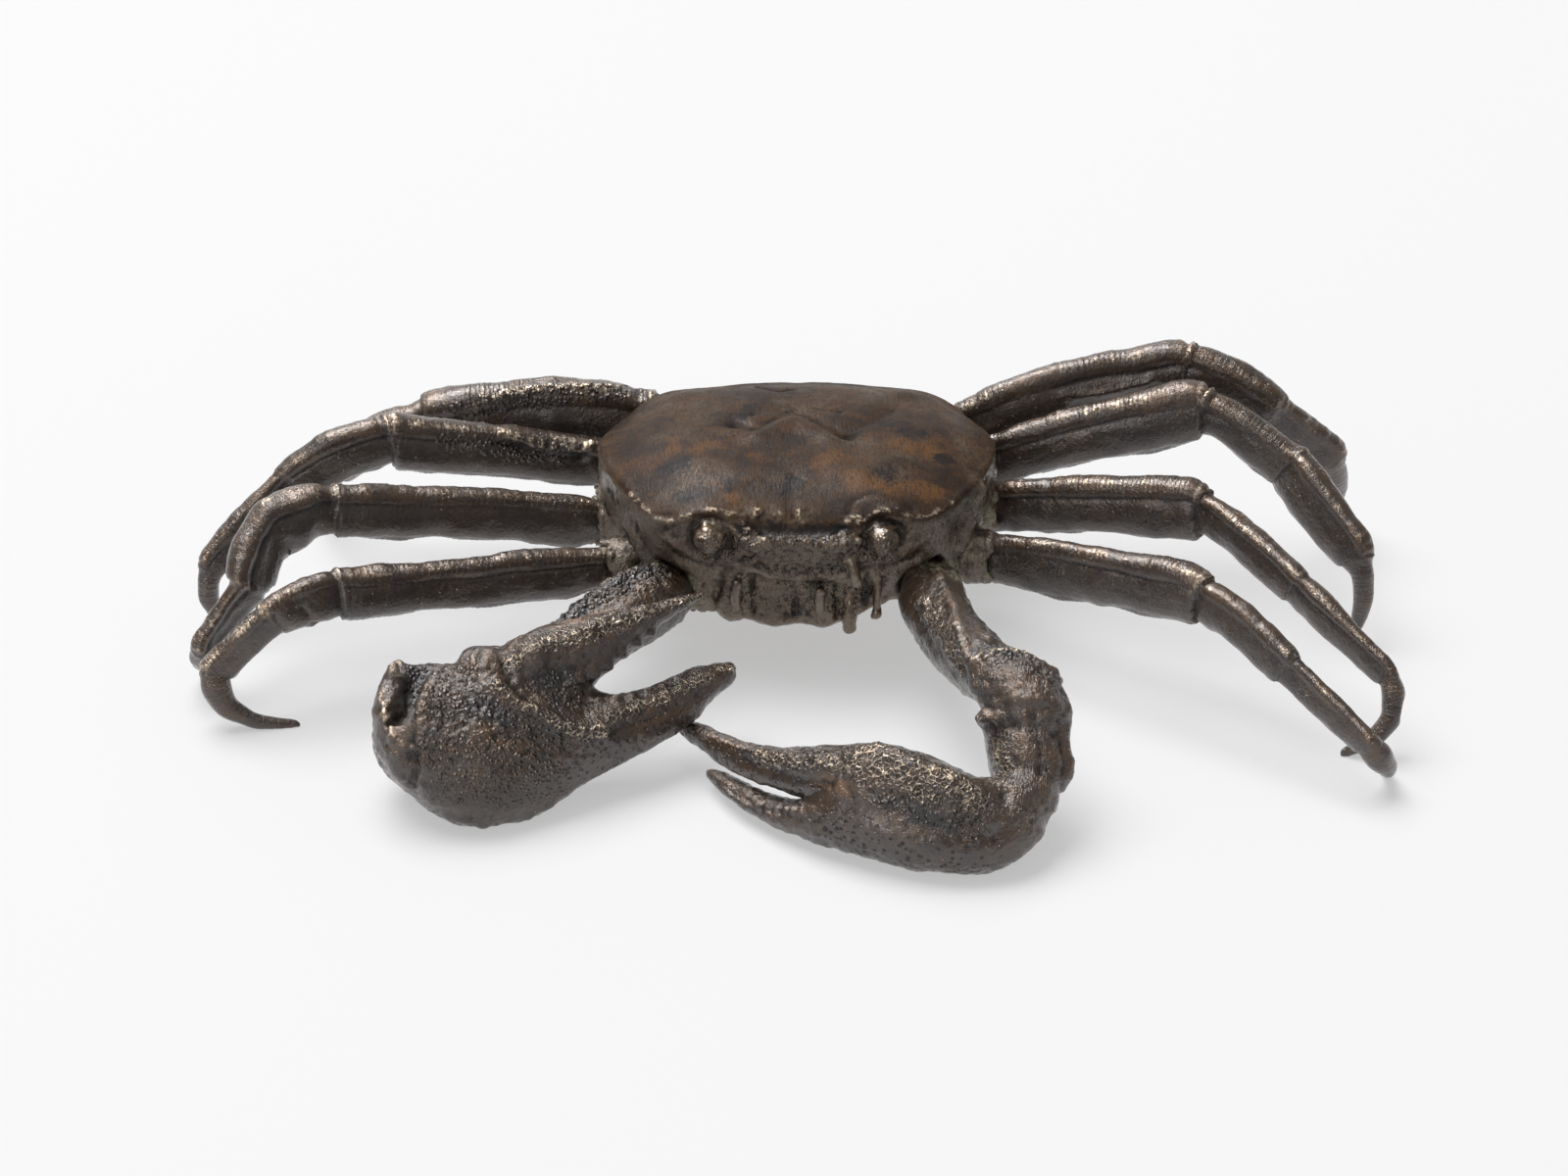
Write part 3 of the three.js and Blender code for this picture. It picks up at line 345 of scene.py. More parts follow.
CLAW_STROKES = {
    "claw_right": [
        ("comb", 1.7, 0.30, [(-13.5, -32, 21), (-19.8, -36.5, 22.3), (-23.3, -40.1, 22.3),
                             (-28.5, -43.5, 22.2), (-34.3, -46.6, 22.1), (-37.3, -47.8, 21.8),
                             (-39.8, -50, 20.7)]),
        ("ridge", 1.1, 0.35, [(-20, -37, 22.6), (-26.4, -40.6, 22.8), (-29.5, -42.9, 22.7)]),
        ("groove", 0.8, 0.6, [(-41.8, -44.8, 20.3), (-41.0, -49.2, 21.2), (-40.5, -51.4, 20.5),
                              (-39.7, -53.2, 19.2), (-37.8, -54.2, 17.2)]),
        ("ridge", 0.5, 0.3, [(-45.3, -51.9, 20.7), (-44.4, -48.9, 21), (-42.6, -50, 21.3), (-42, -52.6, 20),
                             (-42.9, -54.4, 19.4), (-44.5, -53.6, 20)]),
        ("ridge", 0.45, 0.25, [(-44, -51.6, 20.4), (-43.3, -50.6, 20.7), (-42.9, -52.2, 20.2),
                               (-43.4, -53, 20)]),
        ("ridge", 0.5, 0.3, [(-46.8, -51.9, 20.4), (-45.6, -47.9, 20.6), (-42.8, -47.6, 21)]),
        ("comb", 1.1, 0.35, [(-41.8, -54.3, 19.3), (-39.7, -55, 17.7), (-37.3, -55.5, 16),
                             (-34.9, -55.5, 14.7), (-31.8, -54.9, 12.9), (-29.4, -54.3, 11.4),
                             (-27.3, -53, 11.2)]),
        ("ridge", 1.0, 0.4, [(-41.8, -54.3, 19.3), (-37.3, -55.5, 16), (-31.8, -54.9, 12.9),
                             (-27.3, -53, 11.2)]),
        ("groove", 2.2, 0.6, [(-38.4, -52.6, 18.8), (-34, -52.2, 16.4), (-30.4, -51.4, 14.4)]),
        ("comb", 1.0, 0.25, [(-27.3, -52, 12.6), (-22.8, -48.8, 12.5), (-19, -46.1, 12.9),
                             (-15.5, -43.6, 13.1), (-12, -40.2, 13.4), (-9.6, -38.2, 12.8)]),
        ("ridge", 0.8, 0.25, [(-27.3, -52, 12.6), (-22.8, -48.8, 12.5), (-15.5, -43.6, 13.1),
                              (-9.6, -38.2, 12.8)]),
        ("groove", 0.8, 0.25, [(-26, -52.8, 11), (-21.4, -50, 11), (-16.2, -46, 11.3), (-12, -42, 11.8)]),
        ("teeth", 0.75, 0.7, [(-28.2, -49.4, 15.2), (-24.4, -47.6, 14.6), (-20, -44.8, 14.4),
                              (-16, -42, 14.8)]),
        ("teeth", 0.85, 0.9, [(-32, -48, 16.4), (-27.6, -45.6, 16.6), (-23.4, -42.6, 17.2),
                              (-19, -38.8, 18)]),
        ("rim", 0.7, 0.6, [(-58, -52, 16.6), (-57.3, -56.9, 15.6), (-56.3, -59.7, 13.8),
                           (-54.2, -60.9, 13.4), (-52.9, -60.6, 14.1)]),
        ("ridge", 0.9, 0.6, [(-49.6, -49.6, 19.6), (-51.6, -54.8, 18.6), (-52.3, -59.3, 15.4),
                             (-51.9, -61.8, 12), (-52.6, -62.9, 7)]),
        ("groove", 0.7, 0.5, [(-53.6, -59.8, 13.6), (-53.4, -61.8, 10.6), (-54, -62.6, 7.4)]),
        # Painted shade in the cup's hollow and beside the spike.
        ("blue", 2.8, 0.0, [(-53.4, -46, 17), (-53.2, -50.5, 15.1), (-53, -56, 14)]),
        ("blue", 1.6, 0.0, [(-56, -49.6, 17.6), (-56, -53.4, 15)]),
        ("blue", 2.0, 0.0, [(-44, -57.6, 17), (-41, -57, 15.6)]),
        # Painted shade in the hollow between the fingers' bases, under the arm.
        ("blue", 1.6, 0.0, [(-36, -51.6, 18.6), (-31.6, -48.6, 18)]),
        ("dab", 1.0, 0.6, [(-56, -50, 18)]),
        ("granules", 3.4, 0.3, [(-50, -57.6, 17.7), (-44.8, -57.2, 17.4), (-39.7, -58, 14.6),
                                (-34.5, -56.4, 12.9)]),
        ("granules", 3.2, 0.2, [(-50.4, -60.6, 13), (-46.5, -60.8, 14.0), (-41, -60.4, 12),
                                (-36, -58.6, 10.6)]),
        ("folds", 3.0, 0.14, [(-48.9, -61.3, 13.4), (-50, -62.9, 10.3), (-48.3, -63.7, 7.5),
                              (-44.9, -63.7, 5.1)]),
        ("granules", 3.2, 0.05, [(-48, -62.8, 8), (-41, -61.8, 7), (-34, -59.2, 6.6)]),
        ("pits", 3.0, 0.22, [(-31, -57, 7.6), (-24.6, -52.2, 8.4), (-17, -47.2, 9.2)]),
        ("granules", 2.6, 0.14, [(-36, -51.4, 18.4), (-30.6, -50.6, 15)]),
        ("granules", 2.4, 0.14, [(-48.6, -53, 18.8), (-46.6, -52.4, 19.4)]),
        ("blue", 3.2, 0.0, [(-21, -19, 17.8), (-28, -23.4, 18), (-34, -28.6, 15.4)]),
        ("granules", 3.2, 0.36, [(-20, -18.4, 17.4), (-26, -22, 17.6), (-33, -27.4, 15.4)]),
        ("groove", 0.8, 0.5, [(-35, -32.4, 17.2), (-29.6, -28, 18.8), (-24, -24.4, 19)]),
        ("rust", 2.6, 0.0, [(-43, -58.9, 14.6), (-37, -58.7, 12.4)]),
        ("rust", 1.6, 0.0, [(-19, -31, 21.4), (-26, -37.6, 22.4), (-34, -44.6, 21.8)]),
        ("calm", 3.0, 0.0, [(-36.3, -60.8, 6.4), (-28, -55, 7.2), (-18, -47.8, 8.8)]),
        ("ridge", 0.9, 0.4, [(-48.8, -62.3, 2.8), (-38.5, -60, 1.6), (-27, -53.4, 5.2), (-14, -43.4, 8.6)]),
        ("granules", 2.2, 0.14, [(-20, -19.6, 15.6), (-27, -24.6, 14.8), (-34, -30, 12.6),
                                 (-44, -38, 12.4)]),
        ("ridge", 0.9, 0.5, [(-19.4, -17.6, 16.8), (-26, -22.6, 17), (-34, -29.4, 13.6), (-45, -39, 13.2)]),
        ("granules", 3.0, 0.12, [(-50, -44, 15.6), (-54, -46.6, 13.8), (-57.6, -50, 11), (-58, -55.6, 8)]),
        ("solder", 2.4, 0.4, [(-14.8, -17.8, 10.8), (-18.8, -20.4, 10.2), (-22.6, -22.6, 9.8)]),
        ("solder", 1.6, 0.3, [(-17.4, -15.6, 17.4), (-21, -17.6, 17.8)]),
    ],
    "claw_left": [
        ("comb", 1.7, 0.28, [(17.8, -29.2, 18.7), (19.5, -37.1, 20.2), (20.9, -43.9, 21.2),
                             (22.4, -49.3, 20.2)]),
        ("ridge", 0.8, 0.45, [(20.6, -24, 18.6), (21.9, -33.8, 20.7), (22.7, -43.8, 22.5), (23.6, -48.8, 22),
                              (24.1, -51.6, 20.9)]),
        ("groove", 0.9, 0.35, [(16.4, -27.6, 16.8), (17.6, -36.4, 17.8), (18.6, -44.6, 18.8),
                               (21, -50, 18.2)]),
        ("rim", 0.8, 0.5, [(24.8, -51.8, 21.3), (28.5, -51.4, 23.1), (33, -51.2, 22.6),
                           (36.6, -53.2, 19.4)]),
        ("ridge", 0.8, 0.5, [(25.6, -55.3, 17.2), (30.2, -58.4, 19.6), (34.7, -59, 19.3),
                             (37, -59.4, 17.6)]),
        ("groove", 0.9, 0.5, [(26.4, -58, 15.4), (30.6, -60.6, 16.6), (35, -61.2, 15.8)]),
        ("groove", 0.8, 0.3, [(24.6, -50, 21), (28, -50, 22.6), (31.6, -49, 22)]),
        ("rim", 0.9, 0.7, [(25.4, -57.1, 15.4), (27.4, -59.3, 16.9)]),
        ("ridge", 0.8, 0.5, [(37.9, -54.6, 19), (37.9, -58, 16.4), (37.6, -61.4, 12.6), (36.4, -64, 9)]),
        ("comb", 1.8, 0.28, [(27.6, -60.9, 14.6), (27.6, -63.8, 12.4), (27.6, -67.6, 12)]),
        ("folds", 3.2, 0.14, [(31.6, -62.6, 15), (32, -65.6, 11.6), (31.2, -69.2, 8.6)]),
        ("folds", 3.4, 0.2, [(26, -53.4, 19.6), (31, -55.6, 21.4), (35.6, -56, 20)]),
        ("ridge", 0.6, 0.35, [(31.4, -60.8, 18.4), (31.6, -62.8, 14.8), (31.2, -64.6, 11)]),
        ("groove", 0.6, 0.4, [(32.9, -60.6, 18.2), (33.1, -62.8, 14.6), (32.8, -64.8, 10.6)]),
        ("ridge", 0.5, 0.3, [(34.4, -60, 18.2), (34.8, -62.6, 14.2), (34.6, -64.8, 10)]),
        ("groove", 0.6, 0.35, [(36, -59.6, 17.6), (36.4, -62, 14), (36, -64.6, 9.8)]),
        ("granules", 2.4, 0.2, [(27.4, -50.6, 22), (31.4, -52, 22.6), (34.6, -54, 21.6)]),
        ("blue", 2.4, 0.0, [(27.4, -50.6, 22), (31.4, -52, 22.6)]),
        ("rust", 1.4, 0.0, [(28.6, -66.4, 10)]),
        ("rust", 1.5, 0.0, [(3, -66.5, 11.4), (6.6, -68.6, 11)]),
        ("solder", 2.4, 0.25, [(18.4, -20.6, 18), (21.2, -22.4, 18)]),
        ("comb", 2.1, 0.34, [(7.5, -65.4, 13.9), (10.1, -65.6, 15), (13.7, -67.8, 15.3), (17, -70, 14.7),
                             (21.1, -71.2, 13.7), (24.6, -72.5, 11.9)]),
        ("comb", 1.5, 0.28, [(8.6, -67.9, 13.4), (11.5, -68.8, 14.4), (15.2, -70.8, 13.9),
                             (18.8, -72.7, 12.4)]),
        ("ridge", 1.1, 0.35, [(9.5, -65.0, 14.8), (13.7, -67.2, 15.5), (17, -69.4, 15), (21.1, -70.6, 13.9),
                              (25, -71.6, 12)]),
        ("groove", 0.8, 0.2, [(12.4, -72.9, 10.2), (17, -74.6, 9.3), (21, -75.5, 8.3), (26.4, -75.3, 7.3)]),
        ("blue", 1.8, 0.0, [(12.4, -72.2, 11), (17, -73.8, 10.2), (21, -74.8, 9)]),
        ("granules", 2.0, 0.22, [(11, -71.4, 12), (15.4, -72.8, 11.4), (19.4, -74, 10.4), (24, -74.6, 9)]),
        ("pits", 3.4, 0.26, [(4, -69.6, 6.6), (9.7, -72.9, 5.2), (15.2, -74.9, 4.6), (20.7, -75.8, 4.2),
                             (26, -75.8, 5)]),
        ("calm", 3.4, 0.0, [(8, -71.6, 7), (15.2, -74.9, 5.4), (22, -76, 4.8), (28, -75.2, 6)]),
        ("groove", 0.6, 0.35, [(6.4, -61.8, 13.6), (6.0, -64.2, 13.9), (6.3, -67.2, 12.4),
                               (7.2, -69.4, 10.7), (7.4, -70.4, 9.2)]),
        ("ridge", 0.8, 0.12, [(7.6, -62.6, 14.2), (7.2, -65, 14.1), (7.6, -68, 12.7), (8.6, -70, 10.9)]),
        ("comb", 1.5, 0.26, [(5.0, -64.7, 13.2), (1.9, -62.8, 12.3), (-1.4, -60.7, 11.1),
                             (-5.2, -57.3, 9.9)]),
        ("ridge", 0.7, 0.25, [(4.6, -64, 13.6), (1.9, -62.4, 12.6), (-5.2, -57, 10.1), (-11.6, -50.3, 7.8)]),
        ("groove", 0.6, 0.2, [(4.4, -66.4, 11), (-1.4, -61.8, 9.4), (-7.6, -56, 8.4)]),
        ("pits", 1.8, 0.16, [(4.1, -67.8, 9.2), (-1.4, -62.6, 8), (-7.1, -57.2, 7.5), (-12, -50.9, 6.7)]),
        ("calm", 2.0, 0.0, [(4.1, -67.8, 9), (-7.1, -57, 7.5), (-12, -50.7, 6.7)]),
        ("teeth", 0.5, 0.45, [(-6.2, -60.9, 4.4), (-3.1, -63.5, 5), (0.1, -66.1, 6)]),
        ("groove", 0.45, 0.3, [(-10.9, -54.3, 3.4), (-7.1, -59.4, 3.7), (-3.3, -63, 4.3), (1.4, -66.9, 5)]),
        ("ridge", 0.6, 0.25, [(-9.7, -56.5, 2.8), (-5.2, -62.3, 2.9), (0.4, -67.3, 3.8), (4.1, -69.7, 4.2)]),
        ("granules", 2.2, 0.12, [(24, -24, 13), (26.4, -36, 16), (29.4, -46, 18)]),
        ("solder", 2.4, 0.45, [(17.4, -17.4, 17.6), (20.6, -19.4, 18), (22.8, -19.6, 16)]),
        ("solder", 1.8, 0.4, [(22.4, -21.6, 17), (23.4, -18.6, 13.6)]),
    ],
}

# What is cut out of the claws, as rods: [points along the rod], radius at each end.
CLAW_CUTS = {
    "claw_right": [
        ([(-53.6, -45, 18.8), (-53.5, -48.5, 17.3), (-53.9, -51.5, 16.0), (-54.5, -54.2, 15.2),
          (-55.2, -57.5, 14.0)], 1.5, 2.1),
        ([(-53.4, -45.5, 20.6), (-53.5, -49.5, 19.2), (-54.1, -52.5, 18.0), (-54.9, -55.0, 17.2),
          (-55.5, -58.4, 15.9)], 1.9, 2.7),
    ],
    "claw_left": [],
}

# What is added to the claws, as rods given in the same way, and as beads: place, three radii.
CLAW_RODS = {
    "claw_right": [
        ([(-57.3, -53.0, 13.6), (-57.0, -50.4, 16.6), (-56.5, -48.5, 19.4)], 2.3, 0.5),
    ],
    "claw_left": [
        ([(27.8, -57.4, 15.4), (26.8, -57.8, 16.2), (26.0, -58.2, 16.6)], 1.0, 0.45),
    ],
}
CLAW_BEADS = {
    "claw_right": [
        ((-44.2, -49.6, 19.4), (3.2, 3.4, 2.5)),
        ((-50.4, -49.8, 15.6), (2.4, 2.6, 2.2)),
        ((-47.1, -49.0, 17.5), (2.7, 2.8, 2.1)),
        ((-37.4, -48.6, 19.0), (2.8, 2.8, 3.0)),
    ],
    "claw_left": [
        ((24.2, -71.4, 11.4), (1.6, 1.4, 1.3)),
        ((35.0, -52.6, 19.4), (2.0, 1.8, 1.9)),
    ],
}

# Large forms of the claws.
CLAW_FORMS = {
    "claw_right": [
        ("groove", 1.7, 0.3, [(-53.4, -60.2, 13), (-53.6, -61.8, 9), (-54.4, -62.4, 5)]),
        ("dab", 4.0, -0.6, [(-58, -58.6, 3.4)]),
        ("ridge", 2.0, 0.25, [(-50, -51.6, 19.2), (-51.2, -55.6, 18), (-51.6, -59.4, 14.4)]),
        ("dab", 2.6, 0.25, [(-36.6, -48.0, 21.8)]),
        ("groove", 3.2, 0.32, [(-36.4, -52.0, 18), (-32, -51.4, 15.6), (-28.6, -50.2, 14.6)]),
        ("groove", 1.6, 0.22, [(-34, -49.8, 19.4), (-28, -46.2, 18.8), (-22, -41.8, 19.2)]),
        ("ridge", 1.5, 0.22, [(-41.8, -54.3, 19.3), (-37.3, -55.5, 16), (-31.8, -54.9, 12.9),
                              (-27.3, -53, 11.2)]),
        ("dab", 5.0, 0.22, [(-44.8, -60.4, 11)]),
        ("groove", 3.0, 0.15, [(-50.8, -62.2, 6.4), (-47.6, -62, 4)]),
        ("ridge", 1.4, 0.25, [(-19.6, -18, 17.2), (-26, -22.8, 17), (-34, -29.4, 13.8)]),
    ],
    "claw_left": [
        ("ridge", 1.3, 0.3, [(20.6, -24, 18.8), (21.9, -33.8, 20.9), (22.7, -43.8, 22.6),
                             (23.6, -50, 21.9)]),
        ("groove", 2.0, 0.25, [(25.8, -30, 18.4), (26.8, -38, 20.2), (27.4, -45, 21.6)]),
        ("groove", 1.3, 0.28, [(22.4, -50.6, 19.8), (25.4, -48.6, 22.2), (29, -47.6, 23)]),
        ("ridge", 1.4, 0.3, [(24.9, -54, 18.6), (30.2, -57.4, 20.3), (34.7, -58.4, 19.6),
                             (37.2, -58.2, 17.4)]),
        ("groove", 2.0, 0.3, [(25.8, -60.4, 14.6), (30.6, -61.6, 16.2), (34.4, -62, 15)]),
        ("dab", 1.1, 0.45, [(26.0, -57.6, 16.2)]),
        ("dab", 2.6, 0.35, [(37.2, -63.6, 10.4), (36.6, -66.6, 7.6)]),
        ("groove", 1.3, 0.28, [(28.4, -70.4, 11), (32.4, -70.2, 9), (35.6, -69.4, 6.4)]),
        ("ridge", 2.2, 0.25, [(9.5, -65.6, 14.8), (13.7, -67.8, 15.5), (17, -70, 15), (21.1, -71.2, 13.9)]),
        ("groove", 2.0, 0.16, [(12.4, -72.4, 10.6), (17, -74.2, 9.7), (21, -75.1, 8.7), (26.4, -75, 7.7)]),
        ("groove", 1.2, 0.2, [(4.4, -66.4, 11), (-1.4, -61.8, 9.4), (-7.6, -56, 8.4)]),
    ],
}

# Whole regions drawn along: reach, shift and path, in millimetres.
PULLS = {
    "body": [
        (3.4, (0, -0.2, -1.7), [(-10, -17.4, 10.8), (-3, -17.8, 9.8), (4, -17.8, 9.8), (9, -17.4, 11)]),
        (6.0, (0, 0, -0.35), [(-8, 18, 29), (8, 18, 29)]),
        (5.0, (0, 0.3, 0.9), [(-19.5, 14.5, 27)]),
        (5.0, (0, 0.3, 0.9), [(19.5, 14.5, 27)]),
    ],
    "claw_left": [
        (3.2, (0, 0.3, 0.8), [(9.5, -65, 14.8), (17, -69.4, 15), (23, -71.2, 13.4)]),
        (2.6, (0, 0, 0.4), [(18, -69.4, 15), (23, -71.2, 13.4)]),
        (1.8, (0, -0.2, -0.6), [(-12, -51.4, 6), (-7, -57.8, 6.6), (-1.4, -63, 7.4)]),
        (1.6, (0, 0, -0.4), [(-9.6, -56.5, 4), (-3.1, -63.5, 5)]),
        (2.6, (-0.4, -0.3, -0.5), [(30, -44, 21), (34, -50, 21.6)]),
        (2.4, (0.5, 0, 0.2), [(19.4, -44, 15), (23, -52, 16)]),
        (3.0, (0.8, 0, -0.4), [(30, -73, 5), (33, -71, 5.6)]),
        (3.0, (0.9, 0, 0), [(38.4, -62, 10), (38, -66, 7.6)]),
        (3.0, (-0.7, 0, 0), [(15.6, -22, 13.6), (15.6, -27, 14.6)]),
        (2.6, (-0.6, 0, 0), [(37.4, -52, 19)]),
    ],
    "claw_right": [
        (2.6, (-0.2, 0.3, 0.6), [(-24, -19, 15.4), (-29, -21.4, 15.6), (-33.4, -24.6, 15)]),
        (4.0, (0.8, 0.4, 0.5), [(-57.6, -60, 8), (-55.6, -62, 4)]),
        (2.2, (0, 0, -1.9), [(-51.6, -47.4, 18.6), (-50.0, -47.2, 19.2)]),
        (1.8, (0, 0, 0.4), [(-46.6, -48.6, 20.6)]),
        (2.4, (0.5, -0.3, -0.5), [(-9.8, -38.6, 11)]),
        (2.4, (0, 0, -0.8), [(-29, -48.6, 15.6)]),
    ],
    "leg_left_1": [
        (6.0, (0, 0, 0.5), [(34, -13, 18), (58, -29, 20)]),
        (4.0, (0, 0, 0.4), [(64, -36, 18.4)]),
        (3.0, (0, 0, -0.8), [(36, -14.8, 12.4), (43, -18.6, 13)]),
        (2.6, (0, 0, 0.6), [(56, -28.4, 14.4)]),
    ],
    "leg_left_2": [
        (6.0, (0, 0, 0.5), [(34, 0.6, 19), (58, -11, 24)]),
        (3.0, (-0.5, 0, 0), [(87, -42, 8), (86.6, -42.4, 3)]),
    ],
    "leg_left_3": [
        (3.0, (-0.5, -0.4, -0.9), [(66, 2.4, 20), (71, -2.4, 15.6), (76, -7, 11.4)]),
    ],
    "leg_left_4": [
        (5.0, (0, 0, 1.5), [(31, 19, 26), (37, 19.4, 28.4), (44, 19.6, 30)]),
    ],
    "leg_right_1": [
        (3.4, (0, 0, -0.5), [(-36, -16, 11), (-50, -21, 11)]),
        (3.0, (0, 0, -0.7), [(-45, -18.5, 20), (-62, -24.6, 21.4)]),
        (2.6, (0, 0, 0.5), [(-60, -24.5, 12.6)]),
        (3.0, (0, 0, 0.7), [(-69, -28, 19.5), (-74, -30.4, 18.6)]),
        (2.0, (0, 0, -0.5), [(-70, -29.4, 12.4)]),
        (3.0, (1.1, 0, 0), [(-73, -33.1, 0.6)]),
    ],
    "leg_right_2": [
        (3.4, (0, 0, -1.5), [(-32, -3, 11.5), (-50, -8, 12.4)]),
        (3.0, (0, 0, 0.9), [(-71, -13.4, 25.8), (-76, -15.6, 25)]),
    ],
    "leg_right_3": [
        (4.0, (0, 0, 1.2), [(-63, 4, 27.6), (-69, 2.8, 25.4)]),
    ],
    "leg_right_4": [
        (5.0, (0, 0, 0.9), [(-49, 18.4, 26.4), (-38, 18.4, 27.4)]),
        (3.4, (0, 0, -1.8), [(-22.5, 18.8, 27.4)]),
    ],
}

# Large forms of the legs, and their strokes.
LEG_FORMS = {
    "leg_right_1": [
        ("ridge", 1.8, 0.32, [(-33, -14.5, 11.4), (-45, -19, 11.6), (-58, -23.6, 13)]),
        ("dab", 2.4, 0.5, [(-69.4, -28.6, 13.6)]),
    ],
    "leg_right_2": [
        ("ridge", 1.8, 0.25, [(-33, -3, 13), (-45, -6.6, 14.4), (-58, -10, 17.6)]),
        ("ridge", 2.4, 0.8, [(-71.4, -15.6, 20.2), (-74.6, -17.4, 15.6), (-77.6, -19.6, 11.8)]),
    ],
    "leg_left_1": [
        ("ridge", 1.8, 0.2, [(31, -10.6, 19.2), (44, -18.6, 21.6), (55, -27, 22.4)]),
    ],
    "leg_left_3": [
        ("ridge", 2.0, 0.35, [(64.3, 3.4, 23.6), (70.1, -1.6, 18.6), (75.4, -6, 12.8)]),
    ],
}

LEG_STROKES = {
    "leg_right_1": [
        ("groove", 0.7, 0.35, [(-71.4, -29.4, 17.6), (-69.6, -29, 15.6), (-68.2, -28.4, 13.4)]),
        ("dab", 1.3, 0.45, [(-72.8, -31.4, 17)]),
        ("groove", 0.6, 0.35, [(-74.6, -32.6, 18), (-73.6, -33.4, 15.6), (-71.6, -32.6, 14)]),
        ("ridge", 0.9, 0.35, [(-80, -33.6, 14.4), (-76.4, -32.4, 17.8), (-73, -31, 18.6)]),
    ],
    "leg_right_2": [
        ("groove", 2.2, 0.7, [(-75.4, -18.6, 21.6), (-78.6, -20.6, 17.2), (-81, -23, 13.4),
                              (-83, -25, 10.4)]),
        ("rim", 0.8, 0.5, [(-75.6, -15.6, 26.2), (-79, -17.4, 23.6), (-81.4, -20.4, 19.8),
                           (-83.6, -22.6, 14.6), (-86, -24.6, 9)]),
    ],
    "leg_right_3": [
        ("rim", 0.7, 0.7, [(-43.9, 7.6, 25.8), (-39.7, 8.2, 24.2), (-36.1, 8.8, 22.6), (-32.5, 9.8, 21.9),
                           (-30.4, 10.8, 22.2)]),
        ("groove", 0.9, 0.8, [(-44, 7.2, 24.4), (-39.7, 7.6, 22.6), (-35.6, 8.4, 21.2), (-32, 9.4, 20.6)]),
        ("granules", 1.6, 0.14, [(-52, 6.2, 25.6), (-44, 7.4, 23.4), (-35, 9.4, 21.2)]),
    ],
    "leg_right_4": [
        ("granules", 1.6, 0.16, [(-52, 17.6, 24.8), (-42, 17, 26.4), (-32, 17, 27.6), (-26, 17.6, 27.6)]),
        ("rim", 0.8, 0.6, [(-48, 17.8, 25.6), (-40, 17.6, 27.2), (-32, 17.6, 28.4), (-27, 18, 28.2)]),
    ],
    "leg_left_4": [
        ("ridge", 0.8, 0.5, [(40, 18.4, 26.6), (46, 17.6, 27.4), (53, 17.4, 29.4)]),
        ("groove", 1.0, 0.6, [(41, 16.9, 24.6), (47, 16.2, 25.6), (54, 16.6, 28)]),
    ],
}

# ---------------------------------------------------------------- marks, textures and bronzes

# What can be marked on a skin, beside moving it. The patina reads all marks but the first two, and three
# more that paint_marks finds from the skin's shape.
SKIN_MARKS = ("polish_and_highlight", "glaze")
PATINA_MARKS = ("solder", "calm", "comb", "granules", "pits", "folds", "shell", "rust", "blue", "brushed",
                "stripes", "run")
SHAPE_MARKS = ("worn", "recess", "facing")

# Strokes that colour and don't move the skin.
SOFT_MARKS = ("rust", "blue")

# Noises as strength and size in millimetres: how a stroke's edge wanders, what a rough stroke lays down,
# the lumps and grit of every casting, the unevenness of a leg, and the patches where wear and painted
# highlights show.
WANDER_NOISES = ((0.35, 1.9), (0.15, 0.8))
ROUGH_NOISES = ((0.5, 0.9), (0.25, 0.45))
LUMP_NOISES = ((1.6, 6.5), (1.2, 2.8))
GRIT_NOISES = ((1.1, 1.3), (0.9, 0.75))
LEG_NOISES = ((0.32, 7.5), (0.16, 2.6))
PATCH_NOISES = ((1.0, 5.5), (0.5, 1.3))
WIDEST_WANDER = 1.2

GRANULE_SIZE = 1.3
PORE_SPACING = 2.9

# The distance from tooth to tooth, in half widths of the row.
TOOTH_PITCH = 3.4

# The lowest that a limb's skin comes above the ground, in millimetres.
GROUND_GAP = 0.02

# How many rounds of averaging show the fine and the broad forms of a skin.
FINE_ROUNDS = 5
BROAD_ROUNDS = 45

# The patina's noises: how their coordinates are stretched, repeats per metre, detail, roughness and
# distortion.
PATINA_NOISES = {
    "broad": (None, 95, 6.0, 0.65, 0.4),
    "other": (None, 210, 6.0, 0.7, 0.8),
    "middle": (None, 420, 5.0, 0.65, 0.3),
    "speckle": (None, 1900, 3.0, 0.6, 0.0),
    "grit": (None, 4200, 2.0, 0.6, 0.0),
    "streak": ((2.6, 0.8, 0.8), 1500, 2.0, 0.5, 0.0),
    "fibre": ((1.5, 1.5, 0.35), 1500, 2.0, 0.6, 0.6),
    "hatch": ((1.7, 0.45, 0.8), 1700, 3.0, 0.65, 0.0),
}

# Its cells: repeats per metre, what is measured, and between which distances the value falls from 1 to 0.
PATINA_CELLS = {
    "net": (1250, "DISTANCE_TO_EDGE", 0.05, 0.2),
    "bead": (1500, "F1", 0.1, 0.6),
    "pit": (1100, "F1", 0.2, 0.34),
    "spark": (1150, "F1", 0.1, 0.22),
}

# Stripes across the legs, for each millimetre along them.
STRIPES_PER_MM = 2.4

# What the patina takes in and puts out.
PATINA_COLOURS = ("Crest", "Side", "Tawny", "Dark", "Worn Metal", "Soot", "Solder", "Rust", "Blue")
PATINA_SHARES = {"Facing Share": 1.0, "Dark Share": 0.5, "Tawny Share": 0.5, "Wear": 1.0}
PATINA_RESULTS = ("Metal", "Roughness", "Lacquer", "Height")

